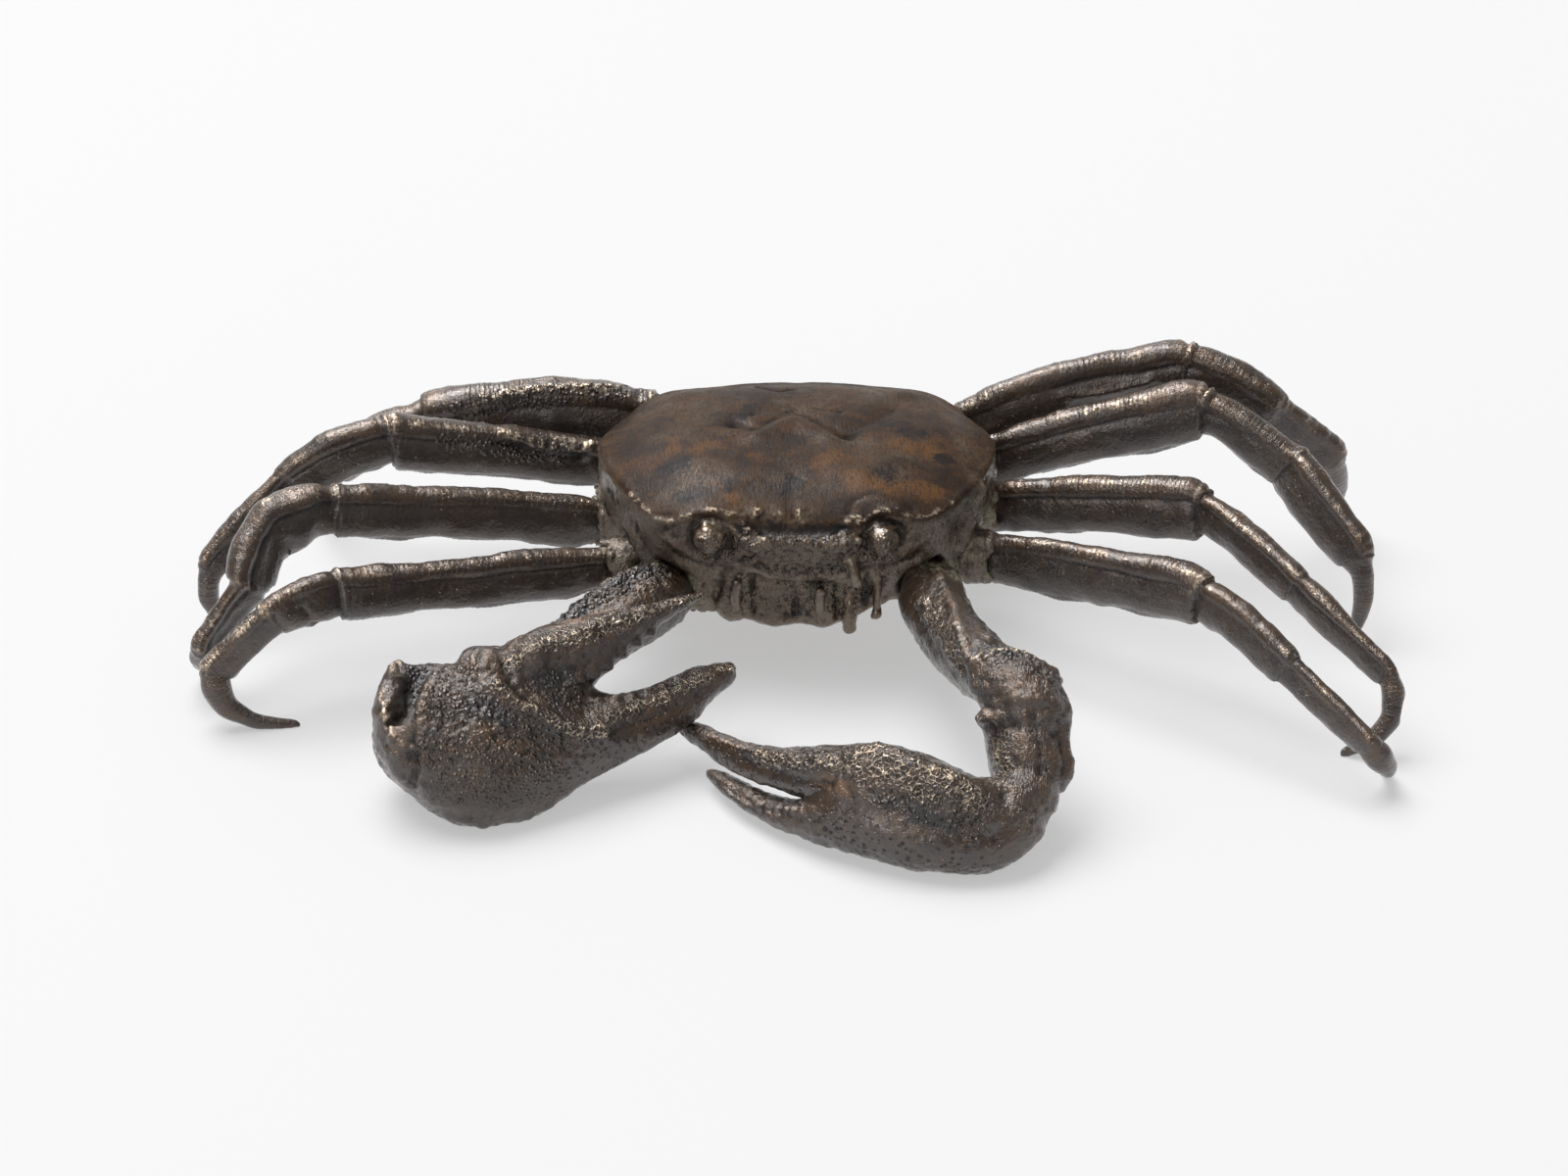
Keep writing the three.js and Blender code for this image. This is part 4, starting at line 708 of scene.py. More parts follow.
# Which setting gives each of a bronze's colours, with its own shares, bump strength and specular level.
SHARED_COLOURS = {
    "Dark": "blue_black_and_shade",
    "Worn Metal": "worn_metal_and_highlight",
    "Soot": "soot_and_shade",
    "Solder": "solder",
    "Rust": "shell_rust",
    "Blue": "blue_black_and_shade",
}
BRONZES = {
    "Carapace Bronze": (
        {"Crest": "shell_brown", "Side": "face_brown", "Tawny": "shell_tawny"},
        {"Facing Share": 0.1, "Dark Share": 0.45, "Tawny Share": 0.7, "Wear": 0.8},
        0.9,
        0.12,
    ),
    "Limb Bronze": (
        {"Crest": "limb_brown", "Side": "limb_grey_and_floor_sheen", "Tawny": "limb_tawny"},
        {"Facing Share": 0.9, "Dark Share": 0.5, "Tawny Share": 0.65, "Wear": 0.8},
        1.0,
        0.5,
    ),
}
BUMP_DISTANCE = 0.28 * MM
LACQUER_IOR = 1.55

# Vertices of a casting's mesh that are nearer than this are one.
MERGE_DISTANCE = 0.002 * MM

# ---------------------------------------------------------------- settings


def seen(red, green, blue):
    """A colour given by its screen values from 0 to 255, as the linear values that shaders use."""
    def linear(value):
        share = value / 255
        if share <= 0.04045:
            return share / 12.92
        return ((share + 0.055) / 1.055) ** 2.4
    return linear(red), linear(green), linear(blue)


def colour_setting(name, description, default):
    return bpy.props.FloatVectorProperty(
        name=name, description=description, subtype="COLOR", size=3, min=0, max=1, default=default,
    )


def relief_setting(name, description, default, low, high):
    """A small length whose default, least and greatest values are given in millimetres."""
    return bpy.props.FloatProperty(
        name=name, description=description, default=default * MM, min=low * MM, max=high * MM,
        unit="LENGTH", precision=5,
    )


def light_setting(name, description, default):
    """A power or a brightness."""
    return bpy.props.FloatProperty(name=name, description=description, default=default, min=0)


class CrabBronzeSettings(bpy.types.PropertyGroup):
    shell_brown: colour_setting("Shell brown", "Warm patina of the carapace", seen(61, 44, 31))
    shell_tawny: colour_setting("Shell tawny", "Lighter patches of the carapace", seen(90, 61, 35))
    shell_rust: colour_setting("Shell rust", "Reddest patches of the carapace", seen(110, 75, 42))
    face_brown: colour_setting("Face brown", "Patina of the face and flanks", seen(118, 101, 83))
    limb_brown: colour_setting("Limb brown", "Patina of the limbs' upper sides", seen(74, 54, 38))
    # Also a grey sheen painted on the limbs' downward sides as the floor's reflection.
    limb_grey_and_floor_sheen: colour_setting("Limb grey", "Patina of the limbs' other sides", seen(66, 57, 52))
    limb_tawny: colour_setting("Limb tawny", "Lighter patches of the limbs", seen(106, 74, 40))
    # Also the colour of painted shade in the claws' hollows and under the front edge.
    blue_black_and_shade: colour_setting("Blue black", "Darkest patches everywhere", seen(34, 30, 31))
    # Also the colour of painted highlights on the eyes, rods, front lobes and leg crests.
    worn_metal_and_highlight: colour_setting("Worn metal", "Polished bronze on raised edges", seen(200, 180, 156))
    # Also the colour of painted shade in hollows, pits, the comb's cells and between granules.
    soot_and_shade: colour_setting("Soot", "What gathers in hollows", seen(15, 11, 9))
    solder: colour_setting("Solder", "Pale solder and flux at the roots", seen(160, 154, 128))
    lacquer_roughness: bpy.props.FloatProperty(
        name="Lacquer roughness", description="Roughness of the clear lacquer", default=0.11,
        min=0, max=1, subtype="FACTOR",
    )


class CrabReliefSettings(bpy.types.PropertyGroup):
    body_voxel: relief_setting("Body voxel", "Remesh size of the body", 0.34, 0.2, 1)
    claw_voxel: relief_setting("Claw voxel", "Remesh size of the claws", 0.31, 0.2, 1)
    leg_voxel: relief_setting("Leg voxel", "Remesh size of the legs", 0.27, 0.2, 1)
    grain_height: relief_setting("Grain", "Height of the overall casting grain", 0.10, 0, 0.5)


class CrabStageSettings(bpy.types.PropertyGroup):
    camera_elevation: bpy.props.FloatProperty(
        name="Elevation", description="Camera's angle above the horizon",
        default=math.radians(30), unit="ROTATION",
    )
    camera_distance: bpy.props.FloatProperty(
        name="Distance", description="Camera's distance from its target", default=0.9, unit="LENGTH",
    )
    lens: bpy.props.FloatProperty(
        name="Lens", description="Focal length in millimetres", default=139.3,
    )
    key_power: light_setting("Overhead light", "Power of the overhead softbox in watts", 92)
    gloss_power: light_setting("Gloss light", "Power of the softbox that only the gloss shows, in watts", 38)
    strip_power: light_setting("Top strip", "Power of the strip that only the gloss shows, in watts", 9)
    glint_power: light_setting("Glint lights", "Power of each small panel light in watts", 1.6)
    wall_power: light_setting("Back wall", "Power of the low panel behind the crab in watts", 2.0)
    card_power: light_setting("Front card", "Power of the low panel before the crab in watts", 3.2)
    tent_strength: light_setting("Tent", "Brightness of the white tent all round", 0.3)
    floor_colour: colour_setting("Floor", "Colour of the seamless ground", (0.46, 0.46, 0.463))
    floor_glow: light_setting("Floor glow", "Light that the ground gives from below", 0.44)


# ---------------------------------------------------------------- noise in space


# Large odd numbers that stir a cell's three whole numbers and a seed into one code.
CELL_STIRRERS = (73856093, 19349663, 83492791)
SEED_STIRRER = 2654435761
CODE_STIRRER = 1274126177
LARGEST_CODE = 0xFFFFFF


def lattice_values(cells, seed):
    """A fixed random number from 0 to 1 for each whole-numbered cell."""
    code = seed * SEED_STIRRER
    for axis, stirrer in enumerate(CELL_STIRRERS):
        code = code ^ cells[..., axis].astype(np.int64) * stirrer
    code = (code ^ (code >> 13)) * CODE_STIRRER
    code = (code ^ (code >> 16)) & LARGEST_CODE
    return code / LARGEST_CODE


def grid(steps):
    """Every place of a small cubic grid."""
    return np.array([(i, j, k) for i in steps for j in steps for k in steps])


CORNERS = grid((0, 1))
NEIGHBOURS = grid((-1, 0, 1))


def noise(points, size, seed):
    """Smooth noise from -1 to 1 with features about size millimetres across."""
    place = points / size
    cell = np.floor(place)
    share = place - cell
    fade = share * share * (3 - 2 * share)
    total = np.zeros(len(points))
    for corner in CORNERS:
        weight = np.prod(np.where(corner, fade, 1 - fade), axis=1)
        total += weight * lattice_values(cell + corner, seed)
    return 2 * total - 1


def noises(points, parts, seed):
    """Noises added up, each given by its strength and its size in millimetres."""
    total = 0
    for number, (strength, size) in enumerate(parts):
        total = total + strength * noise(points, size, seed + number)
    return total


def nearest_seed(points, size, seed):
    """Distances to the nearest of scattered seeds, one to each cell of a size, in cell sizes."""
    place = points / size
    cell = np.floor(place)
    nearest = np.full(len(points), np.inf)
    for neighbour in NEIGHBOURS:
        other = cell + neighbour
        jitter = np.stack([lattice_values(other, seed + axis) for axis in range(3)], axis=1)
        gap = np.linalg.norm(other + jitter - place, axis=1)
        nearest = np.minimum(nearest, gap)
    return nearest


def ramp(values, low, high):
    """Values eased from 0 at low to 1 at high."""
    share = np.clip((values - low) / (high - low), 0, 1)
    return share * share * (3 - 2 * share)


def bell(values, width):
    """1 where the values are 0, fading to nothing on both sides."""
    return np.exp(-(values / width) ** 2)


# ---------------------------------------------------------------- a piece's surface as arrays


# A path laid on a mesh can hold the same place twice, so a step counts as at least this long.
LEAST_STEP = 1e-6


def rounded_path(places, steps=4):
    """A smooth curve through the places, as a denser list of points."""
    places = np.array(places, float)
    if len(places) < 3:
        return places
    padded = np.vstack([2 * places[0] - places[1], places, 2 * places[-1] - places[-2]])
    curve = []
    for a, b, c, d in zip(padded, padded[1:], padded[2:], padded[3:]):
        for t in np.arange(steps) / steps:
            curve.append(0.5 * (2 * b + (c - a) * t + (2 * a - 5 * b + 4 * c - d) * t ** 2
                                + (3 * b - a - 3 * c + d) * t ** 3))
    curve.append(places[-1])
    return np.array(curve)


def near_path(points, path):
    """Each point's distance from the path, and how far along the path its nearest place is."""
    if len(path) == 1:
        return np.linalg.norm(points - path[0], axis=1), np.zeros(len(points))
    nearest = np.full(len(points), np.inf)
    along = np.zeros(len(points))
    run = 0.0
    for start, end in zip(path, path[1:]):
        step = end - start
        length = np.linalg.norm(step)
        share = np.clip((points - start) @ step / max(length, LEAST_STEP) ** 2, 0, 1)
        gap = np.linalg.norm(points - start - share[:, None] * step, axis=1)
        closer = gap < nearest
        nearest[closer] = gap[closer]
        along[closer] = run + share[closer] * length
        run += length
    return nearest, along


class Skin:
    """The vertices of a piece, in millimetres from the body's centre, with what is painted on them."""

    def __init__(self, piece):
        self.piece = piece
        mesh = piece.data
        self.count = len(mesh.vertices)
        ends = np.empty(2 * len(mesh.edges), np.int32)
        mesh.edges.foreach_get("vertices", ends)
        self.ends = ends.reshape(-1, 2)
        self.degree = np.bincount(ends, minlength=self.count)
        self.points = self.read_points()
        self.normals = self.read_normals()
        self.marks = {name: np.zeros(self.count) for name in SKIN_MARKS + PATINA_MARKS}

    def read_points(self):
        flat = np.empty(3 * self.count, np.float32)
        self.piece.data.vertices.foreach_get("co", flat)
        return flat.reshape(-1, 3).astype(float) / MM - BODY_CENTRE

    def read_normals(self):
        flat = np.empty(3 * self.count, np.float32)
        self.piece.data.vertex_normals.foreach_get("vector", flat)
        return flat.reshape(-1, 3).astype(float)

    def write_points(self):
        flat = ((self.points + BODY_CENTRE) * MM).astype(np.float32)
        self.piece.data.vertices.foreach_set("co", flat.ravel())
        self.piece.data.update()
        self.normals = self.read_normals()

    def push(self, height):
        """Moves every vertex out along its normal by a height in millimetres."""
        self.points += self.normals * height[:, None]
        self.write_points()

    def averaged(self, values, rounds):
        """Values, or rows of values, spread to their neighbours a number of times.

        Where the values are true or false, what is true grows by a ring each time.
        """
        table = values.reshape(self.count, -1).copy()
        first, second = self.ends[:, 0], self.ends[:, 1]
        for _ in range(rounds):
            for column in range(table.shape[1]):
                value = table[:, column]
                total = np.bincount(first, weights=value[second], minlength=self.count)
                total += np.bincount(second, weights=value[first], minlength=self.count)
                table[:, column] = 0.5 * value + 0.5 * total / np.maximum(self.degree, 1)
        return table.reshape(values.shape)

    def relax(self, rounds):
        """Evens out the skin."""
        self.points = self.averaged(self.points, rounds)
        self.write_points()

    def bulge(self, rounds):
        """How far each vertex stands out from its surroundings, in millimetres."""
        apart = self.points - self.averaged(self.points, rounds)
        return np.einsum("ij,ij->i", apart, self.normals)

    def mark(self, name, chosen, values):
        """Raises a mark to the given values on the chosen vertices."""
        marks = self.marks[name]
        marks[chosen] = np.maximum(marks[chosen], values)

    def mark_all(self, name, values):
        """Raises a mark to the given values everywhere."""
        self.marks[name] = np.maximum(self.marks[name], values)

    def paint(self, name, values):
        """Stores a value per vertex for the materials to read."""
        layer = self.piece.data.attributes.new(name, "FLOAT", "POINT")
        layer.data.foreach_set("value", values.astype(np.float32))


def pull(skin, node):
    """Draws whole regions of a piece along, with a soft edge."""
    for reach, shift, places in PULLS[node]:
        gap = near_path(skin.points, rounded_path(places))[0]
        skin.points += bell(gap, reach)[:, None] * np.array(shift)
    skin.write_points()


def laid_on(points, path):
    """The path with each of its places moved to the nearest of the points."""
    return np.array([points[np.linalg.norm(points - place, axis=1).argmin()] for place in path])


def carve(skin, strokes, seed, fitted=True):
    """Lays the strokes on a skin: moves its vertices and marks what the material draws there.

    A fitted stroke's path is first laid on the skin. The others act from where they are given.
    """
    height = np.zeros(skin.count)
    wander = noises(skin.points, WANDER_NOISES, seed)
    for number, (kind, width, amount, places) in enumerate(strokes):
        path = rounded_path(places)
        # Three half widths away, nothing of a stroke is left.
        reach = 3 * width + 1
        inside = np.all((skin.points > path.min(0) - reach) & (skin.points < path.max(0) + reach), axis=1)
        chosen = np.flatnonzero(inside)
        if len(chosen) == 0:
            continue
        points = skin.points[chosen]
        if fitted:
            path = laid_on(points, path)
        gap, along = near_path(points, path)
        gap = np.abs(gap + wander[chosen] * min(width, WIDEST_WANDER))
        weight = bell(gap, width)
        band = ramp(weight, 0.12, 0.7)
        own_seed = seed + STROKE_SEED_STEP * number
        uneven = 0.75 + 0.35 * noise(points, 4.0, own_seed)
        if kind in ("ridge", "dab"):
            height[chosen] += amount * weight * uneven
        elif kind == "groove":
            height[chosen] -= amount * weight * uneven
        elif kind == "rim":
            beads = 0.6 + 0.5 * noise(points, 0.8, own_seed)
            height[chosen] += amount * weight * beads
            # A rim's beads are marked as polished metal and painted highlight.
            skin.mark("polish_and_highlight", chosen, weight * ramp(beads, 0.15, 0.75))
        elif kind == "teeth":
            waves = 0.5 + 0.5 * np.sin(2 * math.pi * along / (TOOTH_PITCH * width))
            height[chosen] += amount * weight * waves
        elif kind == "solder":
            lumps = 0.4 + 0.6 * noise(points, 1.5, own_seed) + 0.4 * noise(points, 0.7, own_seed + 1)
            height[chosen] += amount * weight * lumps
            skin.mark(kind, chosen, ramp(weight + 0.45 * noise(points, 1.2, own_seed + 2), 0.35, 1.05))
        elif kind == "granules":
            grains = 1 - ramp(nearest_seed(points, GRANULE_SIZE, own_seed), 0.1, 0.62)
            height[chosen] += amount * band * (grains - 0.3)
            skin.mark(kind, chosen, band * ramp(uneven, 0.35, 0.7))
        elif kind in SOFT_MARKS:
            skin.mark(kind, chosen, weight * ramp(uneven, 0.3, 0.9))
        else:
            height[chosen] += amount * band * noises(points, ROUGH_NOISES, own_seed)
            skin.mark(kind, chosen, band * ramp(uneven, 0.35, 0.7))
    skin.push(height)


def carve_forms(skin, forms, seed, rounds):
    """Carves the large forms in equal passes, and evens them out."""
    for _ in range(FORM_PASSES):
        carve(skin, forms, seed, fitted=False)
    skin.relax(rounds)


def grain(skin, height, seed):
    """The texture that the whole casting has: soft lumps, grit and small pores."""
    rough = 1 - 0.9 * skin.marks["calm"]
    points = skin.points
    lumps = noises(points, LUMP_NOISES, seed)
    grit = noises(points, GRIT_NOISES, seed + 2)
    pores = 1 - ramp(nearest_seed(points, PORE_SPACING, seed + 4), 0.05, 0.15)
    skin.push(height * (lumps * (0.3 + 0.7 * rough) + grit * rough - 1.5 * pores * rough))


def keep_on_the_ground(skin):
    """Flattens what the carving has pushed below the ground."""
    skin.points[:, 2] = np.maximum(skin.points[:, 2], GROUND_GAP)
    skin.write_points()


def paint_marks(skin):
    """Stores where the metal is worn and painted highlights go, where hollows get soot and painted shade,
    and every mark that the material reads.
    """
    fine = skin.bulge(FINE_ROUNDS)
    broad = skin.bulge(BROAD_ROUNDS)
    facing = ramp(skin.normals[:, 2], 0.0, 0.75)
    patchy = ramp(noises(skin.points, PATCH_NOISES, PATCH_SEED), -0.8, 0.9)
    worn = 0.4 * ramp(fine, 0.02, 0.07) + 0.5 * ramp(broad, 0.25, 0.7)
    worn = worn * patchy + 0.8 * skin.marks["polish_and_highlight"]
    if skin.marks["glaze"].any():
        facing = 0.3 * facing + 0.7 * skin.marks["glaze"]
    recess = ramp(-fine, 0.01, 0.06) + 0.8 * ramp(-broad, 0.08, 0.45)
    # Worn metal and painted highlight, strongest on upward faces.
    skin.paint("worn", np.clip(worn, 0, 1) * (0.25 + 0.75 * facing))
    skin.paint("recess", np.clip(recess, 0, 1))
    skin.paint("facing", facing)
    for name in PATINA_MARKS:
        if skin.marks[name].any():
            skin.paint(name, skin.marks[name])


# ---------------------------------------------------------------- making pieces


def only(piece):
    """Deselects everything but one piece, and makes it active."""
    bpy.ops.object.select_all(action="DESELECT")
    piece.select_set(True)
    bpy.context.view_layer.objects.active = piece


def apply_modifier(piece, kind, **values):
    """Adds a modifier with its values to a piece and applies it."""
    only(piece)
    modifier = piece.modifiers.new(kind.title(), kind)
    for name, value in values.items():
        setattr(modifier, name, value)
    bpy.ops.object.modifier_apply(modifier=modifier.name)


def copy_of_casting(node, name):
    """A merged copy of a CAD node's mesh."""
    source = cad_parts[node]
    piece = bpy.data.objects.new(name, source.data.copy())
    bpy.context.scene.collection.objects.link(piece)
    piece.data.materials.clear()
    only(piece)
    bpy.ops.object.mode_set(mode="EDIT")
    bpy.ops.mesh.select_all(action="SELECT")
    bpy.ops.mesh.remove_doubles(threshold=MERGE_DISTANCE)
    bpy.ops.mesh.tris_convert_to_quads(face_threshold=math.radians(50), shape_threshold=math.radians(70))
    bpy.ops.object.mode_set(mode="OBJECT")
    return piece


def metres(place):
    """A place given in millimetres from the body's centre, in metres from the frame's origin."""
    return Vector((np.array(place, float) + BODY_CENTRE) * MM)


def add_bead(place, radii):
    """A small ball, squashed to its three radii."""
    bpy.ops.object.select_all(action="DESELECT")
    bpy.ops.mesh.primitive_uv_sphere_add(segments=20, ring_count=12, radius=1, location=metres(place))
    bead = bpy.context.object
    bead.scale = np.array(radii) * MM
    bpy.ops.object.transform_apply(location=True, rotation=True, scale=True)
    return bead


def add_rod(places, start_radius, end_radius):
    """A tapered rod that bends through its places, made by extruding a disc."""
    path = [metres(place) for place in rounded_path(places, 3)]
    radii = np.linspace(start_radius, end_radius, len(path)) * MM
    bpy.ops.object.select_all(action="DESELECT")
    turn = (path[1] - path[0]).to_track_quat("Z", "Y")
    bpy.ops.mesh.primitive_circle_add(
        vertices=12, radius=radii[0], fill_type="NGON", location=path[0], rotation=turn.to_euler(),
    )
    rod = bpy.context.object
    bpy.ops.object.transform_apply(location=True, rotation=True, scale=True)
    bpy.ops.object.mode_set(mode="EDIT")
    bpy.ops.mesh.select_all(action="SELECT")
    for before, after, old, new in zip(path, path[1:], radii, radii[1:]):
        bpy.ops.mesh.extrude_region_move(TRANSFORM_OT_translate={"value": after - before})
        bpy.ops.transform.resize(value=(new / old,) * 3, center_override=after)
    bpy.ops.mesh.select_all(action="SELECT")
    bpy.ops.mesh.normals_make_consistent(inside=False)
    bpy.ops.object.mode_set(mode="OBJECT")
    return rod


def cut_away(piece, cutters):
    """Cuts the cutters' shapes out of a piece."""
    for cutter in cutters:
        apply_modifier(piece, "BOOLEAN", operation="DIFFERENCE", solver="EXACT", object=cutter)
        bpy.data.objects.remove(cutter)


def fuse(piece, extras, voxel, rounds):
    """Joins the extras to a piece and remeshes them as one fine skin."""
    if extras:
        only(piece)
        for extra in extras:
            extra.select_set(True)
        bpy.ops.object.join()
    apply_modifier(piece, "REMESH", mode="VOXEL", voxel_size=voxel)
    apply_modifier(piece, "SMOOTH", factor=0.5, iterations=rounds)


def start_skin(piece, node, swell):
    """A fused piece's skin, swollen back to its size and drawn into shape."""
    skin = Skin(piece)
    skin.push(np.full(skin.count, swell))
    pull(skin, node)
    return skin


def finish_piece(piece, node, material):
    """Gives a piece its material, attaches it to the root and hides the CAD part that it replaces."""
    piece.data.materials.clear()
    piece.data.materials.append(material)
    only(piece)
    bpy.ops.object.shade_smooth()
    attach(piece, "root")
    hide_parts(node)


# ---------------------------------------------------------------- legs


def quadratic(start, pull, end, steps):
    """Places along a curve from start to end that a third place pulls towards itself."""
    t = np.linspace(0, 1, steps)[:, None]
    return (1 - t) ** 2 * start + 2 * t * (1 - t) * pull + t ** 2 * end


class LegLine:
    """The middle line of a leg, sampled finely, with an up direction carried along it."""

    # Samples in each segment, and how many points are held against them at a time.
    STEPS = 50
    BLOCK = 4000

    # Keeps a step of no length from dividing by nothing.
    LEAST_LENGTH = 1e-9

    def __init__(self, name):
        joints = np.array(LEG_JOINTS[name], float)
        places = []
        segments = []
        for number, arch in enumerate(SEGMENT_ARCHES):
            start, end = joints[number], joints[number + 1]
            pull = (start + end) / 2 + UP * arch
            if number == CARPUS and name in CARPUS_BENDS:
                pull = np.array(CARPUS_BENDS[name])
            if number == DACTYL:
                pull = np.array(LEG_BENDS[name], float)
            places.append(quadratic(start, pull, end, self.STEPS))
            segments.append(np.full(self.STEPS, number))
        self.places = np.vstack(places)
        self.segments = np.concatenate(segments)
        along = np.gradient(self.places, axis=0)
        along /= np.linalg.norm(along, axis=1)[:, None] + self.LEAST_LENGTH
        up = UP
        ups = []
        for direction in along:
            up = up - direction * (up @ direction)
            up = up / np.linalg.norm(up)
            ups.append(up)
        self.alongs = along
        self.ups = np.array(ups)
        self.sides = np.cross(self.alongs, self.ups)
        steps = np.linalg.norm(np.diff(self.places, axis=0), axis=1)
        self.runs = np.concatenate([[0], np.cumsum(steps)])
        self.joint_runs = [self.runs[self.STEPS * number - 1] for number in (CARPUS, PROPODUS, DACTYL)]

    def locate(self, points):
        """For each point: its nearest sample, and how far ahead of, beside and above that it is."""
        nearest = np.empty(len(points), int)
        for start in range(0, len(points), self.BLOCK):
            block = points[start:start + self.BLOCK]
            gaps = ((block[:, None, :] - self.places[None]) ** 2).sum(2)
            nearest[start:start + self.BLOCK] = gaps.argmin(1)
        apart = points - self.places[nearest]
        parts = []
        for axes in (self.alongs, self.sides, self.ups):
            parts.append(np.einsum("ij,ij->i", apart, axes[nearest]))
        return nearest, *parts


def windows(edge, reach):
    """Each place of an edge with its neighbours within a reach, one row for each place."""
    padded = np.pad(edge, reach, mode="edge")
    return np.lib.stride_tricks.sliding_window_view(padded, 2 * reach + 1)


def edge_along(run, values, percentile, slots):
    """A percentile of the values in each slot along a leg, with narrow notches filled."""
    slot = np.minimum((SLOTS_PER_MM * run).astype(int), slots - 1)
    edge = np.full(slots, np.nan)
    for number in range(slots):
        chosen = values[slot == number]
        if len(chosen) > LEAST_IN_SLOT:
            edge[number] = np.percentile(chosen, percentile)
    known = np.flatnonzero(~np.isnan(edge))
    edge = np.interp(np.arange(slots), known, edge[known])
    if percentile > 50:
        edge = windows(windows(edge, NOTCH_REACH).max(1), NOTCH_REACH).min(1)
    else:
        edge = windows(windows(edge, NOTCH_REACH).min(1), NOTCH_REACH).max(1)
    edge = windows(edge, len(EDGE_WEIGHTS) // 2) @ EDGE_WEIGHTS
    return np.interp(SLOTS_PER_MM * run, np.arange(slots) + 0.5, edge)


def press_to_section(skin, line):
    """Presses a leg's skin onto clean sections along its middle line.

    Returns each vertex's run along the leg, its level, its segment, and how much it is of the blade.
    """
    nearest, ahead, beside, rise = line.locate(skin.points)
    run = line.runs[nearest]
    slots = int(SLOTS_PER_MM * run.max()) + 1
    top = edge_along(run, rise, CREST_PERCENTILE, slots)
    bottom = edge_along(run, rise, LOWER_PERCENTILE, slots)
    thick = edge_along(run, np.abs(beside), SIDE_PERCENTILE, slots)
    middle = (top + bottom) / 2
    half = (top - bottom) / 2
    across = beside / thick
    level = (rise - middle) / half
    section = np.array(BLADE_SECTION)
    angles = np.arctan2(section[:, 0], section[:, 1])
    reach = np.interp(np.arctan2(np.abs(across), level), angles, np.hypot(section[:, 0], section[:, 1]))
    segment = line.segments[nearest]
    blade = skin.averaged((segment < DACTYL).astype(float), 10)
    reach = blade * reach + (1 - blade)
    factor = np.clip(reach / np.maximum(np.hypot(across, level), LEAST_SPAN), *PRESS_LIMITS)
    factor = 1 + (factor - 1) * bell(ahead, PRESS_FADE)
    skin.points += line.sides[nearest] * ((factor - 1) * beside)[:, None]
    skin.points += line.ups[nearest] * ((factor - 1) * (rise - middle))[:, None]
    skin.write_points()
    return run, np.clip(level * factor, -1, 1), segment, blade


def carve_leg(skin, name, seed):
    """A glazed roll along the crest, flat sides, and lips and grooves at the joints."""
    line = LegLine(name)
    run, level, segment, blade = press_to_section(skin, line)
    skin.relax(rounds=3)

    # The blade: a serrated crest, a groove under it, a faint ridge and an uneven lower edge.
    along = np.stack([run, 0 * run, 0 * run], axis=1)
    serration = noise(along, 0.8, seed + 1)
    fading = ramp(noise(skin.points, 11.0, seed + 7), -0.35, 0.3)
    drift = 0.12 * noise(along, 15.0, seed + 11)
    crest = blade * ramp(level, 0.84, 0.98)
    groove = blade * bell(level - GROOVE_LEVEL - drift, GROOVE_WIDTH)
    ridge = blade * bell(level - RIDGE_LEVEL - 2 * drift, RIDGE_WIDTH)
    lower = blade * ramp(-level, 0.86, 1.0)
    height = crest * (0.1 + 0.07 * serration)
    height += (0.05 * ridge - 0.15 * groove) * fading
    height += noises(skin.points, LEG_NOISES, seed + 2)
    height += 0.3 * bell(run - line.joint_runs[0] + 5.5, 4.5)
    height += lower * (0.1 + 0.2 * noise(along, 2.2, seed + 8) + 0.35 * noise(along, 6.5, seed + 12))

    # The joints: a swollen lip with a groove after it.
    for joint, size in zip(line.joint_runs, JOINT_SIZES):
        past = run - joint - 0.6 * level
        height -= size * 0.32 * bell(past, 1.6) * np.tanh(past / 0.3)
        lip = bell(past + 0.35, 0.35)
        skin.mark_all("polish_and_highlight", 0.8 * size * lip * ramp(level, -0.5, 0.3))

    # The finish: a line of worn metal and painted highlight along the crest, a glazed upper side and fine
    # stripes across it.
    shine = ramp(serration + 1.2 * noise(skin.points, 5.0, seed + 4), -0.6, 0.9)
    skin.mark_all("polish_and_highlight", 0.95 * blade * bell(level - LIGHT_LEVEL, LIGHT_WIDTH) * shine)
    skin.marks["glaze"] = 0.1 + 0.9 * np.maximum(blade * ramp(level, 0.4, 0.62), 0.5 * (segment == DACTYL))
    striped = ramp(noise(skin.points, 9.0, seed + 9), -0.2, 0.3)
    skin.marks["stripes"] = blade * ramp(level, 0.5, 0.9) * striped
    skin.mark_all("stripes", 0.7 * skin.averaged(segment == DACTYL, 6))
    skin.marks["run"] = run
    skin.marks["calm"] = np.full(skin.count, 0.6)

    # The root: lumps of pale solder.
    root = bell(run, 3.5)
    pale = ramp(root + 0.6 * noise(skin.points, 1.3, seed + 5), 0.6, 1.3)
    skin.mark_all("solder", 0.7 * pale)
    height += 0.5 * root * noise(skin.points, 1.8, seed + 6)
    skin.push(height)


# ---------------------------------------------------------------- materials


def add_node(tree, kind, links=None, **properties):
    """Adds a shader node with some of its properties set and links to some of its inputs."""
    node = tree.nodes.new(kind)
    for name, value in properties.items():
        setattr(node, name, value)
    for name, socket in (links or {}).items():
        tree.links.new(socket, node.inputs[name])
    return node


def set_inputs(node, values):
    """Gives fixed values to some of a node's inputs."""
    for name, value in values.items():
        node.inputs[name].default_value = value


def stretched(tree, place, scales):
    """Coordinates scaled by a different amount along each axis."""
    node = add_node(tree, "ShaderNodeMapping", {"Vector": place})
    set_inputs(node, {"Scale": scales})
    return node.outputs["Vector"]


